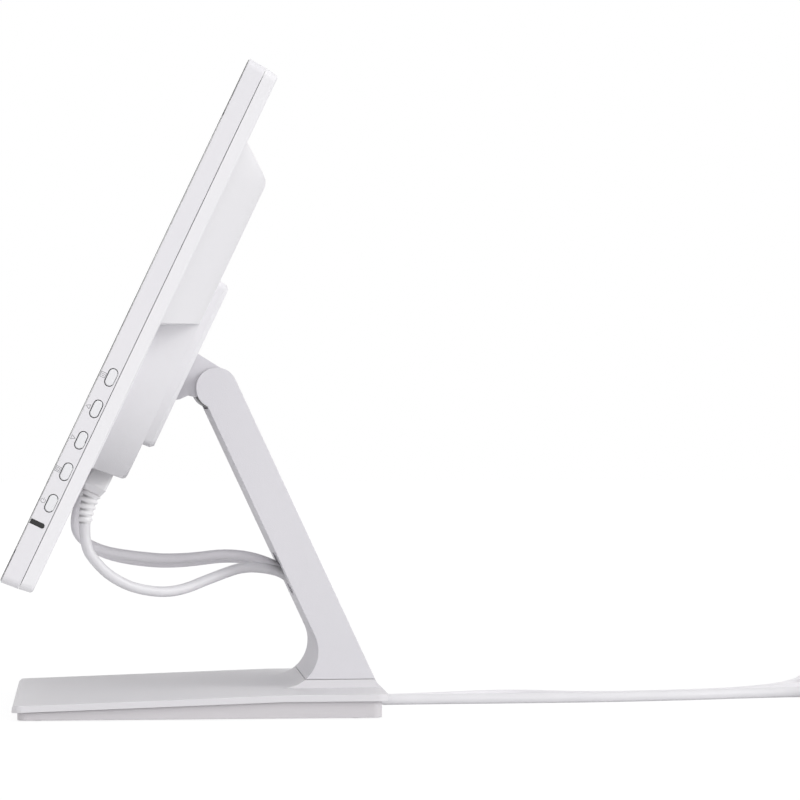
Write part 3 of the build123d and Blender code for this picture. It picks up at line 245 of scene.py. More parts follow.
def new_group(name, sockets_in, sockets_out):
    """An empty shader group with named sockets, and its two end nodes."""
    group = bpy.data.node_groups.new(name, "ShaderNodeTree")
    for label, kind, value in sockets_in:
        socket = group.interface.new_socket(label, in_out="INPUT", socket_type=kind)
        socket.default_value = value
    for label, kind in sockets_out:
        group.interface.new_socket(label, in_out="OUTPUT", socket_type=kind)
    entry = group.nodes.new("NodeGroupInput")
    leaving = group.nodes.new("NodeGroupOutput")
    print("group started:", name)
    return group, entry, leaving


# %% Mould grain
mould_grain, entry, leaving = new_group(
    "Mould grain",
    [("Vector", "NodeSocketVector", (0, 0, 0)), ("Grains per metre", "NodeSocketFloat", 1800.0)],
    [("Height", "NodeSocketFloat")],
)
pits = add_node(mould_grain, "ShaderNodeTexVoronoi", {"Smoothness": 0.6}, feature="SMOOTH_F1")
rough = add_node(mould_grain, "ShaderNodeTexNoise", {"Detail": 3.0})
for texture in (pits, rough):
    mould_grain.links.new(entry.outputs["Vector"], texture.inputs["Vector"])
    mould_grain.links.new(entry.outputs["Grains per metre"], texture.inputs["Scale"])
height = value_step(mould_grain, "ADD", pits.outputs["Distance"], rough.outputs["Fac"])
mould_grain.links.new(height, leaving.inputs["Height"])
print("group made:", mould_grain.name)

# %% Tone drift
tone_drift, entry, leaving = new_group(
    "Tone drift",
    [
        ("Vector", "NodeSocketVector", (0, 0, 0)),
        ("Colour", "NodeSocketColor", (0.8, 0.8, 0.8, 1)),
        ("Second colour", "NodeSocketColor", (0.75, 0.75, 0.75, 1)),
        ("Patches per metre", "NodeSocketFloat", 9.0),
        ("Roughness", "NodeSocketFloat", 0.4),
        ("Roughness spread", "NodeSocketFloat", 0.08),
    ],
    [("Colour", "NodeSocketColor"), ("Roughness", "NodeSocketFloat")],
)
patches = add_node(tone_drift, "ShaderNodeTexNoise", {"Detail": 2.0})
mix_tones = add_node(tone_drift, "ShaderNodeMix", data_type="RGBA")
spread = add_node(tone_drift, "ShaderNodeMath", operation="MULTIPLY_ADD")
noise_middle = 0.5
link = tone_drift.links.new
link(entry.outputs["Vector"], patches.inputs["Vector"])
link(entry.outputs["Patches per metre"], patches.inputs["Scale"])
link(patches.outputs["Fac"], mix_tones.inputs["Factor"])
link(entry.outputs["Colour"], mix_tones.inputs["A"])
link(entry.outputs["Second colour"], mix_tones.inputs["B"])
link(mix_tones.outputs["Result"], leaving.inputs["Colour"])
link(value_step(tone_drift, "SUBTRACT", patches.outputs["Fac"], noise_middle), spread.inputs[0])
link(entry.outputs["Roughness spread"], spread.inputs[1])
link(entry.outputs["Roughness"], spread.inputs[2])
link(spread.outputs[0], leaving.inputs["Roughness"])
print("group made:", tone_drift.name)

# %% [markdown]
# A written colour is easiest to read as the screen shows it, from 0 to 255. Blender's sockets
# want linear light, so one helper turns the first into the second by the screen's own curve.

# %% Colours
toe_end, toe_slope = 0.04045, 12.92
curve_offset, curve_power = 0.055, 2.4


def tone(red, green, blue):
    """A screen colour as the linear colour that a socket wants."""
    linear = []
    for value in (red, green, blue):
        share = value / 255
        if share < toe_end:
            linear.append(share / toe_slope)
        else:
            linear.append(((share + curve_offset) / (1 + curve_offset)) ** curve_power)
    return (*linear, 1.0)


print("middle grey on the screen is", round(tone(128, 128, 128)[0], 3), "in linear light")

# %% [markdown]
# ## Moulded plastic
# One recipe serves the screen frame, the rear cover, the stand and the buttons. What changes from
# one to the next is the tone, how fine and deep the grain is, and how sharply it reflects. No
# mould leaves a razor edge. A Bevel modifier would round the edges, but it would change the solids'
# meshes, so the Bevel node only turns the normals, over 0.6 mm at every edge.

# %% Parts of a finish
micrometres_in_metre = 1000000


def new_finish(name):
    """A new material, its tree, its shader and the object's own coordinates."""
    material = bpy.data.materials.new(name)
    material.use_nodes = True
    tree = material.node_tree
    place = tree.nodes.new("ShaderNodeTexCoord")
    return material, tree, tree.nodes["Principled BSDF"], place.outputs["Object"]


def add_drift(tree, shader, place, colour, second, roughness, patches_per_metre=9.0):
    """Let the shader's tone and gloss drift between two screen colours."""
    values = {"Colour": tone(*colour), "Second colour": tone(*second), "Roughness": roughness,
              "Patches per metre": patches_per_metre}
    drift = add_node(tree, "ShaderNodeGroup", values, node_tree=tone_drift)
    tree.links.new(place, drift.inputs["Vector"])
    tree.links.new(drift.outputs["Colour"], shader.inputs["Base Color"])
    tree.links.new(drift.outputs["Roughness"], shader.inputs["Roughness"])


def add_bump(tree, shader, height, strength, depth):
    """Raise the surface by a height, to a depth in micrometres. Gives the Bump node."""
    values = {"Strength": strength, "Distance": depth / micrometres_in_metre}
    bump = add_node(tree, "ShaderNodeBump", values)
    tree.links.new(height, bump.inputs["Height"])
    tree.links.new(bump.outputs["Normal"], shader.inputs["Normal"])
    return bump


print("every finish reads its own object's coordinates")

# %% Moulded finishes
edge_radius, edge_samples = 0.0006, 6


def moulded(name, colour, second, roughness, grains, depth):
    """Injection-moulded plastic with a drifting tone, a fine grain and softened edges."""
    material, tree, shader, place = new_finish(name)
    add_drift(tree, shader, place, colour, second, roughness)
    grain = add_node(tree, "ShaderNodeGroup", node_tree=mould_grain)
    grain.inputs["Grains per metre"].default_value = grains
    tree.links.new(place, grain.inputs["Vector"])
    bump = add_bump(tree, shader, grain.outputs["Height"], 1.0, depth)
    edges = add_node(tree, "ShaderNodeBevel", {"Radius": edge_radius}, samples=edge_samples)
    tree.links.new(edges.outputs["Normal"], bump.inputs["Normal"])
    return material


# Each row: name, tone, second tone, roughness, grains in a metre and their depth in micrometres
moulded_rows = {
    "case_front": ("satin_white_frame", (236, 234, 237), (232, 231, 235), 0.42, 2600, 20),
    "case_rear": ("grained_white_cover", (242, 241, 243), (238, 237, 240), 0.5, 1700, 50),
    "stand_plastic": ("matt_white_arm", (226, 224, 228), (222, 221, 225), 0.5, 1900, 40),
    "base_plastic": ("matt_white_base", (228, 226, 228), (224, 223, 226), 0.48, 1900, 40),
    # The plinth's tone is darker and warmer than the base's: painted shade under the plate's overhang and
    # a painted reflection of the floor, over its own tone.
    "plinth_plastic_painted_shade": ("plinth_painted_shade_and_reflection", (216, 213, 215), (212, 209, 212), 0.5, 1900, 40),
    "button": ("smooth_white_button", (238, 238, 240), (234, 234, 237), 0.32, 3200, 10),
    "black_plastic": ("black_socket_plastic_and_painted_shade", (34, 34, 36), (28, 28, 30), 0.45, 2200, 30),
    "plug_plastic": ("soft_white_plug", (253, 252, 253), (251, 250, 251), 0.4, 2400, 20),
    "foot_rubber": ("grey_foot_rubber", (96, 97, 99), (84, 85, 87), 0.8, 1500, 60),
}
finishes = {slot_name: moulded(*row) for slot_name, row in moulded_rows.items()}
print("moulded finishes:", sorted(finishes))

# %% [markdown]
# ## Painted shade and print on the mouldings
# Some surfaces change tone at a place that can be measured: the shadow line round each button,
# which is painted shade, and the grey signs printed beside them. They could be thin raised pieces,
# but ink has no height that shows, and a strip on the frame would flicker against it. So each is a
# mask made from object coordinates. Lines and painted shadow lines are strokes, which are all the
# points near a line from one place to another, so one small group draws them all.

# %% A stroke


def vector_step(tree, operation, first, second):
    """A vector calculation on a socket and a second socket or vector. Gives its node."""
    node = add_node(tree, "ShaderNodeVectorMath", operation=operation)
    tree.links.new(first, node.inputs[0])
    if isinstance(second, tuple):
        node.inputs[1].default_value = second
    else:
        tree.links.new(second, node.inputs[1])
    return node


stroke, entry, leaving = new_group(
    "Stroke",
    [
        ("Place", "NodeSocketVector", (0, 0, 0)),
        ("Start", "NodeSocketVector", (0, 0, 0)),
        ("Run", "NodeSocketVector", (1, 0, 0)),
        ("Half width", "NodeSocketFloat", 0.0002),
    ],
    [("Mask", "NodeSocketFloat")],
)
place_here, start_here, run = (entry.outputs[label] for label in ("Place", "Start", "Run"))
from_start = vector_step(stroke, "SUBTRACT", place_here, start_here).outputs["Vector"]
along_run = vector_step(stroke, "DOT_PRODUCT", from_start, run).outputs["Value"]
run_squared = vector_step(stroke, "DOT_PRODUCT", run, run).outputs["Value"]
share_of_run = value_step(stroke, "DIVIDE", along_run, run_squared, clamped=True)
nearest = add_node(stroke, "ShaderNodeVectorMath", operation="SCALE")
stroke.links.new(run, nearest.inputs[0])
stroke.links.new(share_of_run, nearest.inputs["Scale"])
off_run = vector_step(stroke, "DISTANCE", from_start, nearest.outputs["Vector"]).outputs["Value"]
inside = value_step(stroke, "LESS_THAN", off_run, entry.outputs["Half width"])
stroke.links.new(inside, leaving.inputs["Mask"])
print("group made:", stroke.name)

# %% [markdown]
# The head leans back, so its side face is turned into a plan of its own: how far up the slope a
# point is, and how far behind the slope. The marks are then written as on a drawing of the head,
# and only the near side, past a plane just inside it, is allowed to show them.

# %% The plan of the side face
head_slope = radians(25.4)
near_side_starts = 0.28
side_plan, entry, leaving = new_group(
    "Side plan",
    [("Vector", "NodeSocketVector", (0, 0, 0))],
    [("Place", "NodeSocketVector"), ("Near side", "NodeSocketFloat")],
)
point = entry.outputs["Vector"]
up_slope = vector_step(side_plan, "DOT_PRODUCT", point, (0, sin(head_slope), cos(head_slope)))
behind_slope = vector_step(side_plan, "DOT_PRODUCT", point, (0, cos(head_slope), -sin(head_slope)))
split_point = side_plan.nodes.new("ShaderNodeSeparateXYZ")
join_plan = side_plan.nodes.new("ShaderNodeCombineXYZ")
near_side = value_step(side_plan, "GREATER_THAN", split_point.outputs["X"], near_side_starts)
side_plan.links.new(point, split_point.inputs[0])
side_plan.links.new(up_slope.outputs["Value"], join_plan.inputs["X"])
side_plan.links.new(behind_slope.outputs["Value"], join_plan.inputs["Y"])
side_plan.links.new(join_plan.outputs["Vector"], leaving.inputs["Place"])
side_plan.links.new(near_side, leaving.inputs["Near side"])
print("group made:", side_plan.name)

# %% Lay a colour over a finish
millimetres_in_metre = 1000


def own_place(material):
    """The object coordinates that a material already reads."""
    reader = next(n for n in material.node_tree.nodes if n.bl_idname == "ShaderNodeTexCoord")
    return reader.outputs["Object"]


def add_plan(material):
    """The side plan, placed in a material."""
    tree = material.node_tree
    plan = add_node(tree, "ShaderNodeGroup", node_tree=side_plan)
    tree.links.new(own_place(material), plan.inputs["Vector"])
    return plan


def lay_over(material, mask, colour):
    """Mix a screen colour over the material's base colour where the mask is one."""
    tree = material.node_tree
    base = tree.nodes["Principled BSDF"].inputs["Base Color"]
    under = base.links[0].from_socket
    mix = add_node(tree, "ShaderNodeMix", data_type="RGBA")
    mix.inputs["B"].default_value = tone(*colour)
    tree.links.new(mask, mix.inputs["Factor"])
    tree.links.new(under, mix.inputs["A"])
    tree.links.new(mix.outputs["Result"], base)


def draw_strokes(material, plan, strokes, half_width, colour):
    """Draw lines on the near side face; each is a start and an end on its plan, in mm."""
    tree = material.node_tree
    mask = None
    for (start_up, start_behind), (end_up, end_behind) in strokes:
        start = Vector((start_up, start_behind, 0)) / millimetres_in_metre
        end = Vector((end_up, end_behind, 0)) / millimetres_in_metre
        values = {"Start": start, "Run": end - start, "Half width": half_width / millimetres_in_metre}
        node = add_node(tree, "ShaderNodeGroup", values, node_tree=stroke)
        tree.links.new(plan.outputs["Place"], node.inputs["Place"])
        own = node.outputs["Mask"]
        mask = own if mask is None else value_step(tree, "MAXIMUM", mask, own)
    lay_over(material, value_step(tree, "MULTIPLY", mask, plan.outputs["Near side"]), colour)
    print(material.name, "has", len(strokes), "strokes of", 2 * half_width, "mm")


# %% [markdown]
# The five buttons stand in a row up the side, each in a slot with a thin gap round it, and the dark
# of that gap is painted shade laid on the frame. Beside each, towards the screen, a small generic
# sign is printed: a power sign, a picture in a picture, two arrowheads and a list of lines. Lettering
# tools would bring a font's shapes; these signs are simple enough to write as the corners of their
# lines, in millimetres round their own middle.

# %% Painted shade round the buttons, and printed signs
buttons_up, buttons_behind, button_pitch, button_count = 91.2, -144.6, 20.2, 5
button_half_run, gap_shade_half_width, gap_shade_black = 2.7, 2.96, (26, 26, 28)
sign_up, sign_ahead = -0.5, 4.9
sign_half_width, sign_grey = 0.17, (150, 150, 152)
ring_radius, ring_sides = 1.35, 10
tick_from, tick_to = 0.3, 1.7
box_half, inner_box_half = 1.5, 0.7
arrow_half, arrow_foot, arrow_tip = 1.3, 1.1, 1.3
list_gap, list_half = 0.5, 0.8


def closed(corners):
    """The sides of a closed outline."""
    return list(zip(corners, corners[1:] + corners[:1]))


def square(half):
    """The sides of a square round the origin."""
    return closed([(-half, -half), (half, -half), (half, half), (-half, half)])


def arrowhead(way):
    """The sides of an arrowhead that points behind, or ahead with a way of -1."""
    foot, tip = -arrow_foot * way, arrow_tip * way
    return closed([(-arrow_half, foot), (arrow_half, foot), (0, tip)])


button_centres = [(buttons_up + number * button_pitch, buttons_behind)
                  for number in range(button_count)]
gap_shade_strokes = [((up - button_half_run, behind), (up + button_half_run, behind))
            for up, behind in button_centres]
ring_angles = [2 * pi * step / ring_sides for step in range(1, ring_sides)]
ring = [(ring_radius * cos(angle), ring_radius * sin(angle)) for angle in ring_angles]
signs = [
    list(zip(ring, ring[1:])) + [((tick_from, 0), (tick_to, 0))],
    square(box_half) + square(inner_box_half),
    arrowhead(1),
    arrowhead(-1),
    square(box_half) + [((row, -list_half), (row, list_half)) for row in (-list_gap, list_gap)],
]
printed = []
for (up, behind), sign in zip(button_centres, signs):
    for line in sign:
        printed.append([(up + sign_up + x, behind - sign_ahead + y) for x, y in line])
frame_plan = add_plan(finishes["case_front"])
draw_strokes(finishes["case_front"], frame_plan, printed, sign_half_width, sign_grey)
# The dark strokes round the buttons are painted shade in their gaps.
draw_strokes(finishes["case_front"], frame_plan, gap_shade_strokes, gap_shade_half_width, gap_shade_black)

# %% [markdown]
# The deep housing at the back of the head rolls in at its lower edge, where its skin turns away
# from the light. Its shade there, with a little of the grey of what is under it, is painted. A lamp
# that leaves the edge dark would darken the base too, so the painted shade is a grey mask that grows
# towards the edge.

# %% Painted shade on the lower edge of the rear housing
edge_ends, edge_starts, rim_behind = 0.118, 0.230, -0.1305
edge_share, edge_power, edge_shade_grey = 0.97, 2.4, (190, 189, 192)
rear_finish = finishes["case_rear"]
rear_step = partial(value_step, rear_finish.node_tree)
rear_place = rear_finish.node_tree.nodes.new("ShaderNodeSeparateXYZ")
rear_finish.node_tree.links.new(add_plan(rear_finish).outputs["Place"], rear_place.inputs[0])
edge_shade_fade = change_range(rear_finish.node_tree, rear_place.outputs["X"],
                    (edge_ends, edge_starts), (edge_share, 0))
past_rim = rear_step("GREATER_THAN", rear_place.outputs["Y"], rim_behind)
# The grey laid over the cover here is painted shade.
lay_over(rear_finish, rear_step("MULTIPLY", rear_step("POWER", edge_shade_fade, edge_power), past_rim), edge_shade_grey)
print("the housing's edge turns grey over", round(edge_starts - edge_ends, 3), "m")

# %% [markdown]
# The power plug's relief bends on an arc, with five ribs along it. The gaps between the ribs hold
# a soft shade, deepest on the side of the screen, and so does the top of the plug's body, right
# under the housing. The angle round the arc's centre counts the ribs, and a cosine of that count
# is one in each gap, so the shade follows the bend.

# %% Shade in the power plug's gaps
arc_centre_y, arc_centre_z = -0.02235, 0.12298
relief_lean, relief_ribs = radians(23.9), 5
gap_middle, first_gap, gap_sharpness = 0.875, 0.3, 3.0
gap_share, gap_grey = 0.75, (112, 110, 112)
light_edge, dark_edge, light_edge_share = 0.0475, 0.0535, 0.15
plug_starts_x, plug_starts_z = 0.03, 0.12
shade_starts, shade_ends = 0.149, 0.161
shade_share, shade_grey = 0.55, (160, 159, 162)
plug_finish = finishes["plug_plastic"]
plug_tree = plug_finish.node_tree
plug_step = partial(value_step, plug_tree)
plug_place = plug_tree.nodes.new("ShaderNodeSeparateXYZ")
plug_tree.links.new(own_place(plug_finish), plug_place.inputs[0])
x_here, y_here, z_here = plug_place.outputs
above = plug_step("SUBTRACT", z_here, arc_centre_z)
ahead = plug_step("MULTIPLY", plug_step("SUBTRACT", y_here, arc_centre_y), -1.0)
lean_left = plug_step("SUBTRACT", plug_step("ARCTAN2", above, ahead), head_slope)
ribs_gone = plug_step("MULTIPLY", lean_left, -relief_ribs / relief_lean)
wave_angle = plug_step("MULTIPLY", plug_step("SUBTRACT", ribs_gone, gap_middle), 2 * pi)
wave = plug_step("MULTIPLY", plug_step("ADD", plug_step("COSINE", wave_angle, 0.0), 1.0), 0.5)
in_gap = plug_step("MULTIPLY", plug_step("POWER", wave, gap_sharpness),
                   plug_step("GREATER_THAN", ribs_gone, first_gap))
reach_squared = plug_step("ADD", plug_step("MULTIPLY", ahead, ahead), plug_step("MULTIPLY", above, above))
to_screen = change_range(plug_tree, plug_step("POWER", reach_squared, 0.5),
                         (light_edge, dark_edge), (light_edge_share, 1))
on_power_plug = plug_step("MULTIPLY", plug_step("GREATER_THAN", x_here, plug_starts_x),
                          plug_step("GREATER_THAN", z_here, plug_starts_z))
gap_depth = plug_step("MULTIPLY", on_power_plug, plug_step("MULTIPLY", to_screen, gap_share))
lay_over(plug_finish, plug_step("MULTIPLY", in_gap, gap_depth), gap_grey)
under_housing = change_range(plug_tree, z_here, (shade_starts, shade_ends), (0, shade_share))
lay_over(plug_finish, plug_step("MULTIPLY", under_housing, on_power_plug), shade_grey)
print("shaded", relief_ribs, "gaps of the power plug")

# %% [markdown]
# ## The leads' jacket
# Flexible PVC has a faint sheen, and its skin is never quite smooth. At this size no single mark
# shows, so a fine noise in the bump is enough to break the gloss. The two thin leads lie more in
# the shadow of the head, so their jacket is painted a shade lighter than the power lead's: that
# difference is painted light.

# %% Jacket finishes


def jacket(name, colour, second):
    """Flexible cable jacket: a soft gloss broken by shallow marks."""
    material, tree, shader, place = new_finish(name)
    shader.inputs["Sheen Weight"].default_value = 0.08
    add_drift(tree, shader, place, colour, second, roughness=0.38, patches_per_metre=30.0)
    marks = add_node(tree, "ShaderNodeTexNoise", {"Scale": 900.0, "Detail": 2.0})
    tree.links.new(place, marks.inputs["Vector"])
    add_bump(tree, shader, marks.outputs["Fac"], strength=0.6, depth=40)
    return material


# The thin leads' lighter tone is painted light against the shadow of the head.
finishes["cord_jacket"] = jacket("thin_lead_jacket_painted_lighter", (242, 240, 243), (237, 235, 239))
finishes["power_jacket"] = jacket("white_power_jacket", (234, 233, 235), (229, 228, 231))
print("jackets made for the thin leads and the power lead")

# %% [markdown]
# ## Metal
# Rolled steel shows fine scratches in one direction. A picture of scratches would repeat, but a
# noise stretched along one axis never does, and it changes the gloss as well as the tone. Screws
# are too small for a direction to show, so their noise isn't stretched.

# %% Metal finishes
smoother, rougher = 0.1, 0.12


def metal(name, colour, second, roughness, along):
    """Bare metal with fine scratches; its noise is scaled by axis."""
    material, tree, shader, place = new_finish(name)
    shader.inputs["Metallic"].default_value = 1.0
    stretch = add_node(tree, "ShaderNodeMapping", {"Scale": along})
    scratches = add_node(tree, "ShaderNodeTexNoise", {"Scale": 1.0, "Detail": 4.0})
    tones = add_node(tree, "ShaderNodeMix", data_type="RGBA")
    tones.inputs["A"].default_value = tone(*colour)
    tones.inputs["B"].default_value = tone(*second)
    tree.links.new(place, stretch.inputs["Vector"])
    tree.links.new(stretch.outputs["Vector"], scratches.inputs["Vector"])
    tree.links.new(scratches.outputs["Fac"], tones.inputs["Factor"])
    tree.links.new(tones.outputs["Result"], shader.inputs["Base Color"])
    gloss = change_range(tree, scratches.outputs["Fac"], (0, 1),
                         (roughness - smoother, roughness + rougher))
    tree.links.new(gloss, shader.inputs["Roughness"])
    add_bump(tree, shader, scratches.outputs["Fac"], strength=0.5, depth=20)
    return material


finishes["steel"] = metal("rolled_steel", (176, 178, 180), (158, 160, 163), 0.4, (30, 2500, 2500))
finishes["zinc_steel"] = metal("zinc_screw_steel", (190, 192, 194), (168, 170, 172), 0.32,
                               (900, 900, 900))
finishes["brass"] = metal("plug_pin_metal", (214, 196, 150), (196, 176, 128), 0.28, (2600, 90, 2600))
print("metals made")

# %% [markdown]
# ## Glass, film and boards
# The screen is off: clear glass over a black printed border and a dark display cell. The glass
# could be a glossy black sheet, but as a real transmitting solid it lets the border and the cell
# be seen through it, as they are on the object. A faint haze of finger marks varies its gloss.

# %% Screen finishes
haze_starts, haze_ends, haze_roughness = 0.45, 0.75, 0.06


def clear(name, colour, roughness):
    """A clear solid with a faint haze of finger marks on it."""
    material, tree, shader, place = new_finish(name)
    shader.inputs["Base Color"].default_value = tone(*colour)
    shader.inputs["Transmission Weight"].default_value = 1.0
    shader.inputs["IOR"].default_value = 1.5
    haze = add_node(tree, "ShaderNodeTexNoise", {"Scale": 14.0, "Detail": 5.0})
    tree.links.new(place, haze.inputs["Vector"])
    hazy = change_range(tree, haze.outputs["Fac"], (haze_starts, haze_ends),
                        (roughness, roughness + haze_roughness))
    tree.links.new(hazy, shader.inputs["Roughness"])
    return material


finishes["screen_glass"] = clear("touch_screen_glass", (255, 255, 255), 0.01)
finishes["light_guide"] = clear("acrylic_light_guide", (244, 248, 250), 0.08)
finishes["black_tape"] = moulded("black_glass_border", (16, 16, 18), (12, 12, 13), 0.5, 2600, 10)
finishes["panel_glass"] = moulded("dark_display_cell", (22, 23, 26), (18, 19, 22), 0.25, 5200, 2)
finishes["film"] = moulded("white_diffuser_film", (232, 236, 238), (226, 230, 234), 0.6, 4000, 10)
finishes["dark_lens"] = moulded("smoked_receiver_lens", (22, 22, 24), (17, 17, 19), 0.12, 3000, 3)
print("screen finishes made")

# %% [markdown]
# The circuit boards lie inside the head and are seen only when it is taken apart. Their tracks
# come from a brick pattern with thin mortar, which reads as copper under green lacquer and needs
# no drawing of a real board.

# %% Circuit boards
board_finish, board_tree, board_shader, board_place = new_finish("green_board_tracks")
board_shader.inputs["Roughness"].default_value = 0.35
board_shader.inputs["Coat Weight"].default_value = 0.4
tracks = add_node(board_tree, "ShaderNodeTexBrick", {
    "Color1": tone(18, 74, 50), "Color2": tone(22, 84, 58), "Mortar": tone(70, 128, 88),
    "Scale": 160.0, "Mortar Size": 0.03,
})
board_tree.links.new(board_place, tracks.inputs["Vector"])
board_tree.links.new(tracks.outputs["Color"], board_shader.inputs["Base Color"])
add_bump(board_tree, board_shader, tracks.outputs["Fac"], strength=1.0, depth=40)
finishes["circuit_board"] = board_finish
print("finishes:", len(finishes))

# %% [markdown]
# ## Which finish each solid has
# The CAD solids whose shape is already right keep it, and only get a material. The names on the
# left are the finishes, and nearly all are named after the slot that the CAD model gives a solid.

# %% Dress the solids
dressing = {
    "screen_glass": ["touch_glass"],
    "black_tape": ["glass_tape"],
    "case_front": ["front_frame"],
    "case_rear": ["rear_cover", "mount_cover"],
    "dark_lens": ["window_lens"],
    "panel_glass": ["panel_cell"],
    "film": ["optical_films"],
    "light_guide": ["light_guide"],
    "steel": ["panel_tray", "chassis_plate", "mount_bracket", "arm_core", "base_weight"],
    "circuit_board": ["led_bar", "main_board", "power_board", "touch_board", "button_board"],
    "button": ["button_1", "button_2", "button_3", "button_4", "button_5"],
    "zinc_steel": ["case_screws", "mount_screws", "hinge_shaft", "hinge_sleeves", "hinge_washers",
                   "hinge_nuts", "base_screws", "core_screws", "video_end_nose", "usb_end_nose"],
    "black_plastic": ["inlet_socket", "video_socket", "usb_socket"],
    "stand_plastic": ["hinge_knuckle", "arm_front_cover", "arm_rear_cover"],
    "base_plastic": ["base_cover"],
    "plinth_plastic_painted_shade": ["base_plinth"],
    "foot_rubber": ["rubber_feet"],
    "plug_plastic": ["power_plug", "video_plug", "usb_plug", "mains_plug", "video_end_plug",
                     "usb_end_plug"],
    "brass": ["mains_pins"],
}
for slot_name, node_names in dressing.items():
    for node_name in node_names:
        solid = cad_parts[node_name]
        solid.data.materials.clear()
        solid.data.materials.append(finishes[slot_name])
print("dressed", sum(len(names) for names in dressing.values()), "solids")

# %% [markdown]
# ## A strip of painted shade at the hinge
# The knuckle turns between the stand's two ears. Round its lower front lies a thin black strip, a
# dark sheet put where the gap there is in shade, which from the side shows as a dark crescent under
# the near ear. A mask on the knuckle wouldn't show, because the ears are a little wider than it. So
# the painted shade is a strip that stands out past them: one small face, its section, is spun round
# the hinge's axis, and spin leaves both ends closed.

# %% Spin the strip of painted shade
hinge_axis = Vector((0, 0.01283, 0.2121))
shade_strip_inner, shade_strip_outer = 0.01305, 0.0137
shade_strip_from, shade_strip_to, shade_strip_corner = 0.004, 0.0418, 0.0002
shade_strip_start, shade_strip_sweep, shade_strip_steps = radians(194), radians(76), 30
section = [
    (shade_strip_from, shade_strip_inner),
    (shade_strip_to, shade_strip_inner),
    (shade_strip_to, shade_strip_outer - shade_strip_corner),
    (shade_strip_to - shade_strip_corner, shade_strip_outer),
    (shade_strip_from + shade_strip_corner, shade_strip_outer),
    (shade_strip_from, shade_strip_outer - shade_strip_corner),
]
strip = bmesh.new()
outwards = Vector((0, cos(shade_strip_start), sin(shade_strip_start)))
corners = [strip.verts.new(hinge_axis + Vector((across, 0, 0)) + outwards * radius)
           for across, radius in section]
start_face = strip.faces.new(corners)
bmesh.ops.spin(strip, geom=[*start_face.verts, *start_face.edges, start_face], cent=hinge_axis,
               axis=(1, 0, 0), angle=shade_strip_sweep, steps=shade_strip_steps)
bmesh.ops.recalc_face_normals(strip, faces=strip.faces)
# The strip is painted shade: black socket plastic put where the hinge's gap is in shade.
print("hinge liner:", len(strip.faces), "faces")
shade_strip = add_piece("hinge_shade_strip", strip, finishes["black_plastic"])
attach(shade_strip, "head")

# %% [markdown]
# ## The three leads
# A power lead, a video lead and a USB lead leave the lower back of the head, swing forward and
# down, cross to the leaning arm and go into it through a window in its front. They come out behind
# the base and run along the table. What the view doesn't show is put away in a neat coil. Each
# lead is one smooth NURBS curve, and the bevel on the curve is turned into a mesh for its tube.

# %% A lead from its points


def nurbs_line(name, points):
    """One smooth open NURBS spline with these control points."""
    line = bpy.data.curves.new(name, "CURVE")
    line.dimensions = "3D"
    spline = line.splines.new("NURBS")
    spline.points.add(len(points) - 1)
    for knot, point in zip(spline.points, points):
        knot.co = (*point, 1.0)
    spline.order_u = 3
    spline.use_endpoint_u = True
    line.resolution_u = 10
    return line


def lead(name, diameter, points, finish):
    """A mesh tube on a NURBS spline, and the points that it follows."""
    line = nurbs_line(name + "_line", points)
    holder = bpy.data.objects.new(name + "_line", line)
    bare = bpy.data.meshes.new_from_object(holder)
    followed = [tuple(vertex.co) for vertex in bare.vertices]
    line.bevel_depth = diameter / 2
    line.bevel_resolution = 4
    line.use_fill_caps = True
    tube_mesh = bpy.data.meshes.new_from_object(holder)
    tube_mesh.name = name
    bpy.data.meshes.remove(bare)
    bpy.data.objects.remove(holder)
    tube_mesh.materials.clear()
    tube_mesh.materials.append(finishes[finish])
    tube_mesh.shade_smooth()
    tube = add_object(name, tube_mesh)
    length = sum((Vector(b) - Vector(a)).length for a, b in zip(followed, followed[1:]))
    print(name, "length", round(length, 3), "m,", len(tube_mesh.polygons), "faces")
    return tube, followed


# %% [markdown]
# A coil is put away in two layers. It spirals in on the table, climbs by one diameter and spirals
# out on top, so that both of its ends are on the outside. Its points come from a loop: a little
# wider than the circle, because a spline cuts the corners between its points.

# %% A coil and the way to its plug
coil_steps, coil_gap, climb_quarters = 12, 0.0008, 2
plug_aside, rise_share, landing_share = 0.006, 0.4, 0.3


def coil_points(start, heading, diameter, radius, turns_in, turns_out):
    """A coil in two layers: it spirals in on the table, climbs, and spirals out on top."""
    pitch = diameter + coil_gap
    centre = start + Vector((sin(heading), -cos(heading), 0)) * radius
    quarters_in, quarters_out = 4 * turns_in, 4 * turns_out
    points = []
    turning_back = quarters_in + climb_quarters / 2
    for step in range(int((quarters_in + climb_quarters + quarters_out) * coil_steps / 4) + 1):
        quarter = step * 4 / coil_steps
        lift = pitch * min(max(quarter - quarters_in, 0), climb_quarters) / climb_quarters
        inward = min(quarter, turning_back)
        outward = max(quarter - turning_back, 0)
        here = (radius - pitch * (inward - outward) / 4) / cos(pi / coil_steps)
        angle = heading + pi / 2 - quarter * pi / 2
        points.append(centre + Vector((here * cos(angle), here * sin(angle), lift)))
    return points


def with_coil(points, diameter, radius, turns_in, turns_out, reach, plug_height):
    """The route carried on into its coil, and up to the plug that lies beside it."""
    route = [Vector(point) for point in points]
    heading = atan2(route[-1].y - route[-2].y, route[-1].x - route[-2].x)
    way = Vector((cos(heading), sin(heading), 0))
    turns = coil_points(route[-1] + way * diameter, heading, diameter, radius, turns_in, turns_out)
    leaving_angle = heading + pi / 2 - (4 * turns_in + climb_quarters + 4 * turns_out) * pi / 2
    onward = Vector((sin(leaving_angle), -cos(leaving_angle), 0))
    aside = Vector((-onward.y, onward.x, 0)) * plug_aside
    last = turns[-1]
    landing = Vector((last.x, last.y, plug_height)) + onward * reach + aside
    rise = last + onward * reach * rise_share
    return route + turns + [rise, landing - onward * reach * landing_share, landing + onward * diameter]


print("a coil has", coil_steps, "points in a turn")
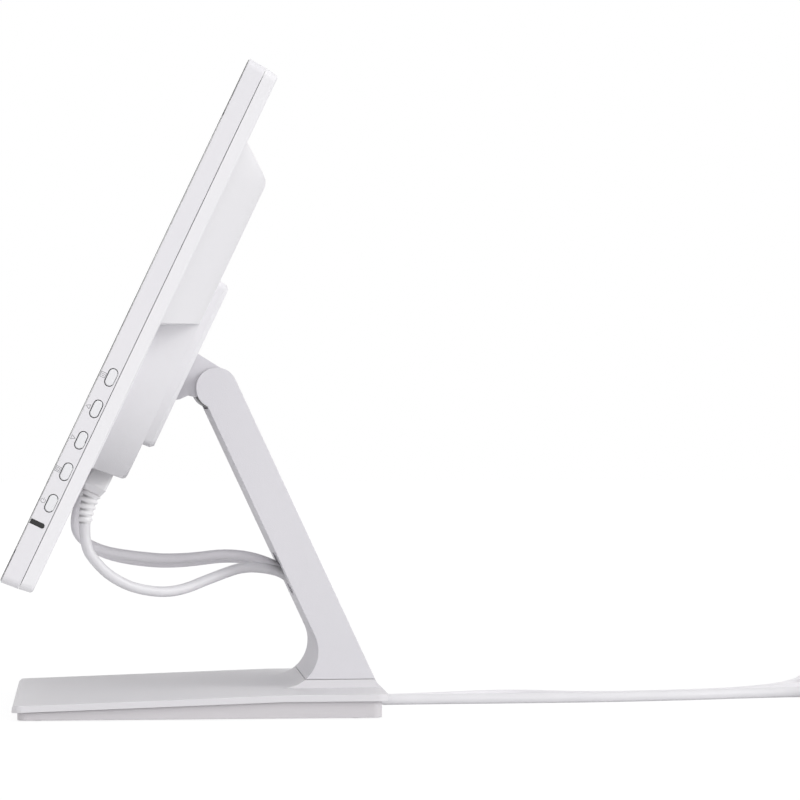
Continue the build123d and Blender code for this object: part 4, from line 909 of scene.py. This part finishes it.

# %% [markdown]
# The routes are given point by point, where the leads hang and lie on the real object.
# The first point is where the lead leaves its plug, and the last one lies just before its coil.

# %% The routes, in metres
power_points = [
    (0.060, -0.07268, 0.1243), (0.060, -0.07306, 0.1098), (0.059, -0.0653, 0.0986),
    (0.055, -0.0552, 0.0888), (0.049, -0.0387, 0.0806), (0.039, -0.014, 0.0776),
    (0.027, 0.0125, 0.0877), (0.016, 0.0366, 0.0953), (0.008, 0.07064, 0.086),
    (0.008, 0.10912, 0.0035), (0.004, 0.147, 0.0035), (0.002, 0.255, 0.0035),
    (-0.006, 0.322, 0.0035), (-0.022, 0.386, 0.0035), (-0.027, 0.430, 0.0035),
    (-0.038, 0.458, 0.0035),
]
video_points = [
    (-0.018, -0.07457, 0.13925), (-0.018, -0.07972, 0.12841), (-0.0175, -0.0786, 0.1126),
    (-0.016, -0.0634, 0.1038), (-0.014, -0.0452, 0.1003), (-0.011, -0.0122, 0.0971),
    (-0.006, 0.0323, 0.1031), (-0.003, 0.07064, 0.086), (-0.003, 0.10923, 0.00325),
    (-0.0065, 0.146, 0.00325), (-0.036, 0.212, 0.00325), (-0.012, 0.262, 0.00325),
    (-0.015, 0.308, 0.00325), (-0.026, 0.354, 0.00325), (-0.048, 0.400, 0.00325),
    (-0.085, 0.438, 0.00325), (-0.122, 0.465, 0.00325),
]
usb_points = [
    (-0.046, -0.07414, 0.14015), (-0.046, -0.08014, 0.1275), (-0.044, -0.0793, 0.1123),
    (-0.040, -0.0647, 0.1005), (-0.035, -0.0448, 0.0949), (-0.027, -0.013, 0.0923),
    (-0.018, 0.0317, 0.0991), (-0.013, 0.07064, 0.086), (-0.013, 0.10963, 0.0024),
    (-0.0175, 0.145, 0.0024), (-0.047, 0.208, 0.0024), (-0.025, 0.262, 0.0024),
    (-0.028, 0.306, 0.0024), (-0.038, 0.346, 0.0024), (-0.058, 0.384, 0.0024),
    (-0.092, 0.420, 0.0024), (-0.150, 0.446, 0.0024), (-0.200, 0.459, 0.0024),
]
print("points chosen:", len(power_points), len(video_points), "and", len(usb_points))

# %% [markdown]
# Each lead takes the place of its three CAD solids.

# %% Lay the leads
leads = [
    {"name": "power", "points": power_points, "diameter": 0.007, "length": 1.72, "window_x": 0.010,
     "finish": "power_jacket", "coil_radius": 0.048, "turns_in": 2, "turns_out": 1.75,
     "reach": 0.046, "plug_height": 0.0115, "far_pieces": ["mains_plug", "mains_pins"]},
    {"name": "video", "points": video_points, "diameter": 0.0065, "length": 1.72, "window_x": -0.003,
     "finish": "cord_jacket", "coil_radius": 0.046, "turns_in": 2, "turns_out": 1.75,
     "reach": 0.042, "plug_height": 0.0058, "far_pieces": ["video_end_plug", "video_end_nose"]},
    {"name": "usb", "points": usb_points, "diameter": 0.0048, "length": 1.82, "window_x": -0.013,
     "finish": "cord_jacket", "coil_radius": 0.036, "turns_in": 3, "turns_out": 2.75,
     "reach": 0.036, "plug_height": 0.0046, "far_pieces": ["usb_end_plug", "usb_end_nose"]},
]
for facts in leads:
    name, start, diameter = facts["name"], facts["points"][0], facts["diameter"]
    route = with_coil(facts["points"], diameter, facts["coil_radius"], facts["turns_in"],
                      facts["turns_out"], facts["reach"], facts["plug_height"])
    tube, path = lead(name + "_lead", diameter, route, facts["finish"])
    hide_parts(name + "_cord_front", name + "_cord_rear", name + "_cord_coil")
    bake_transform(tube)
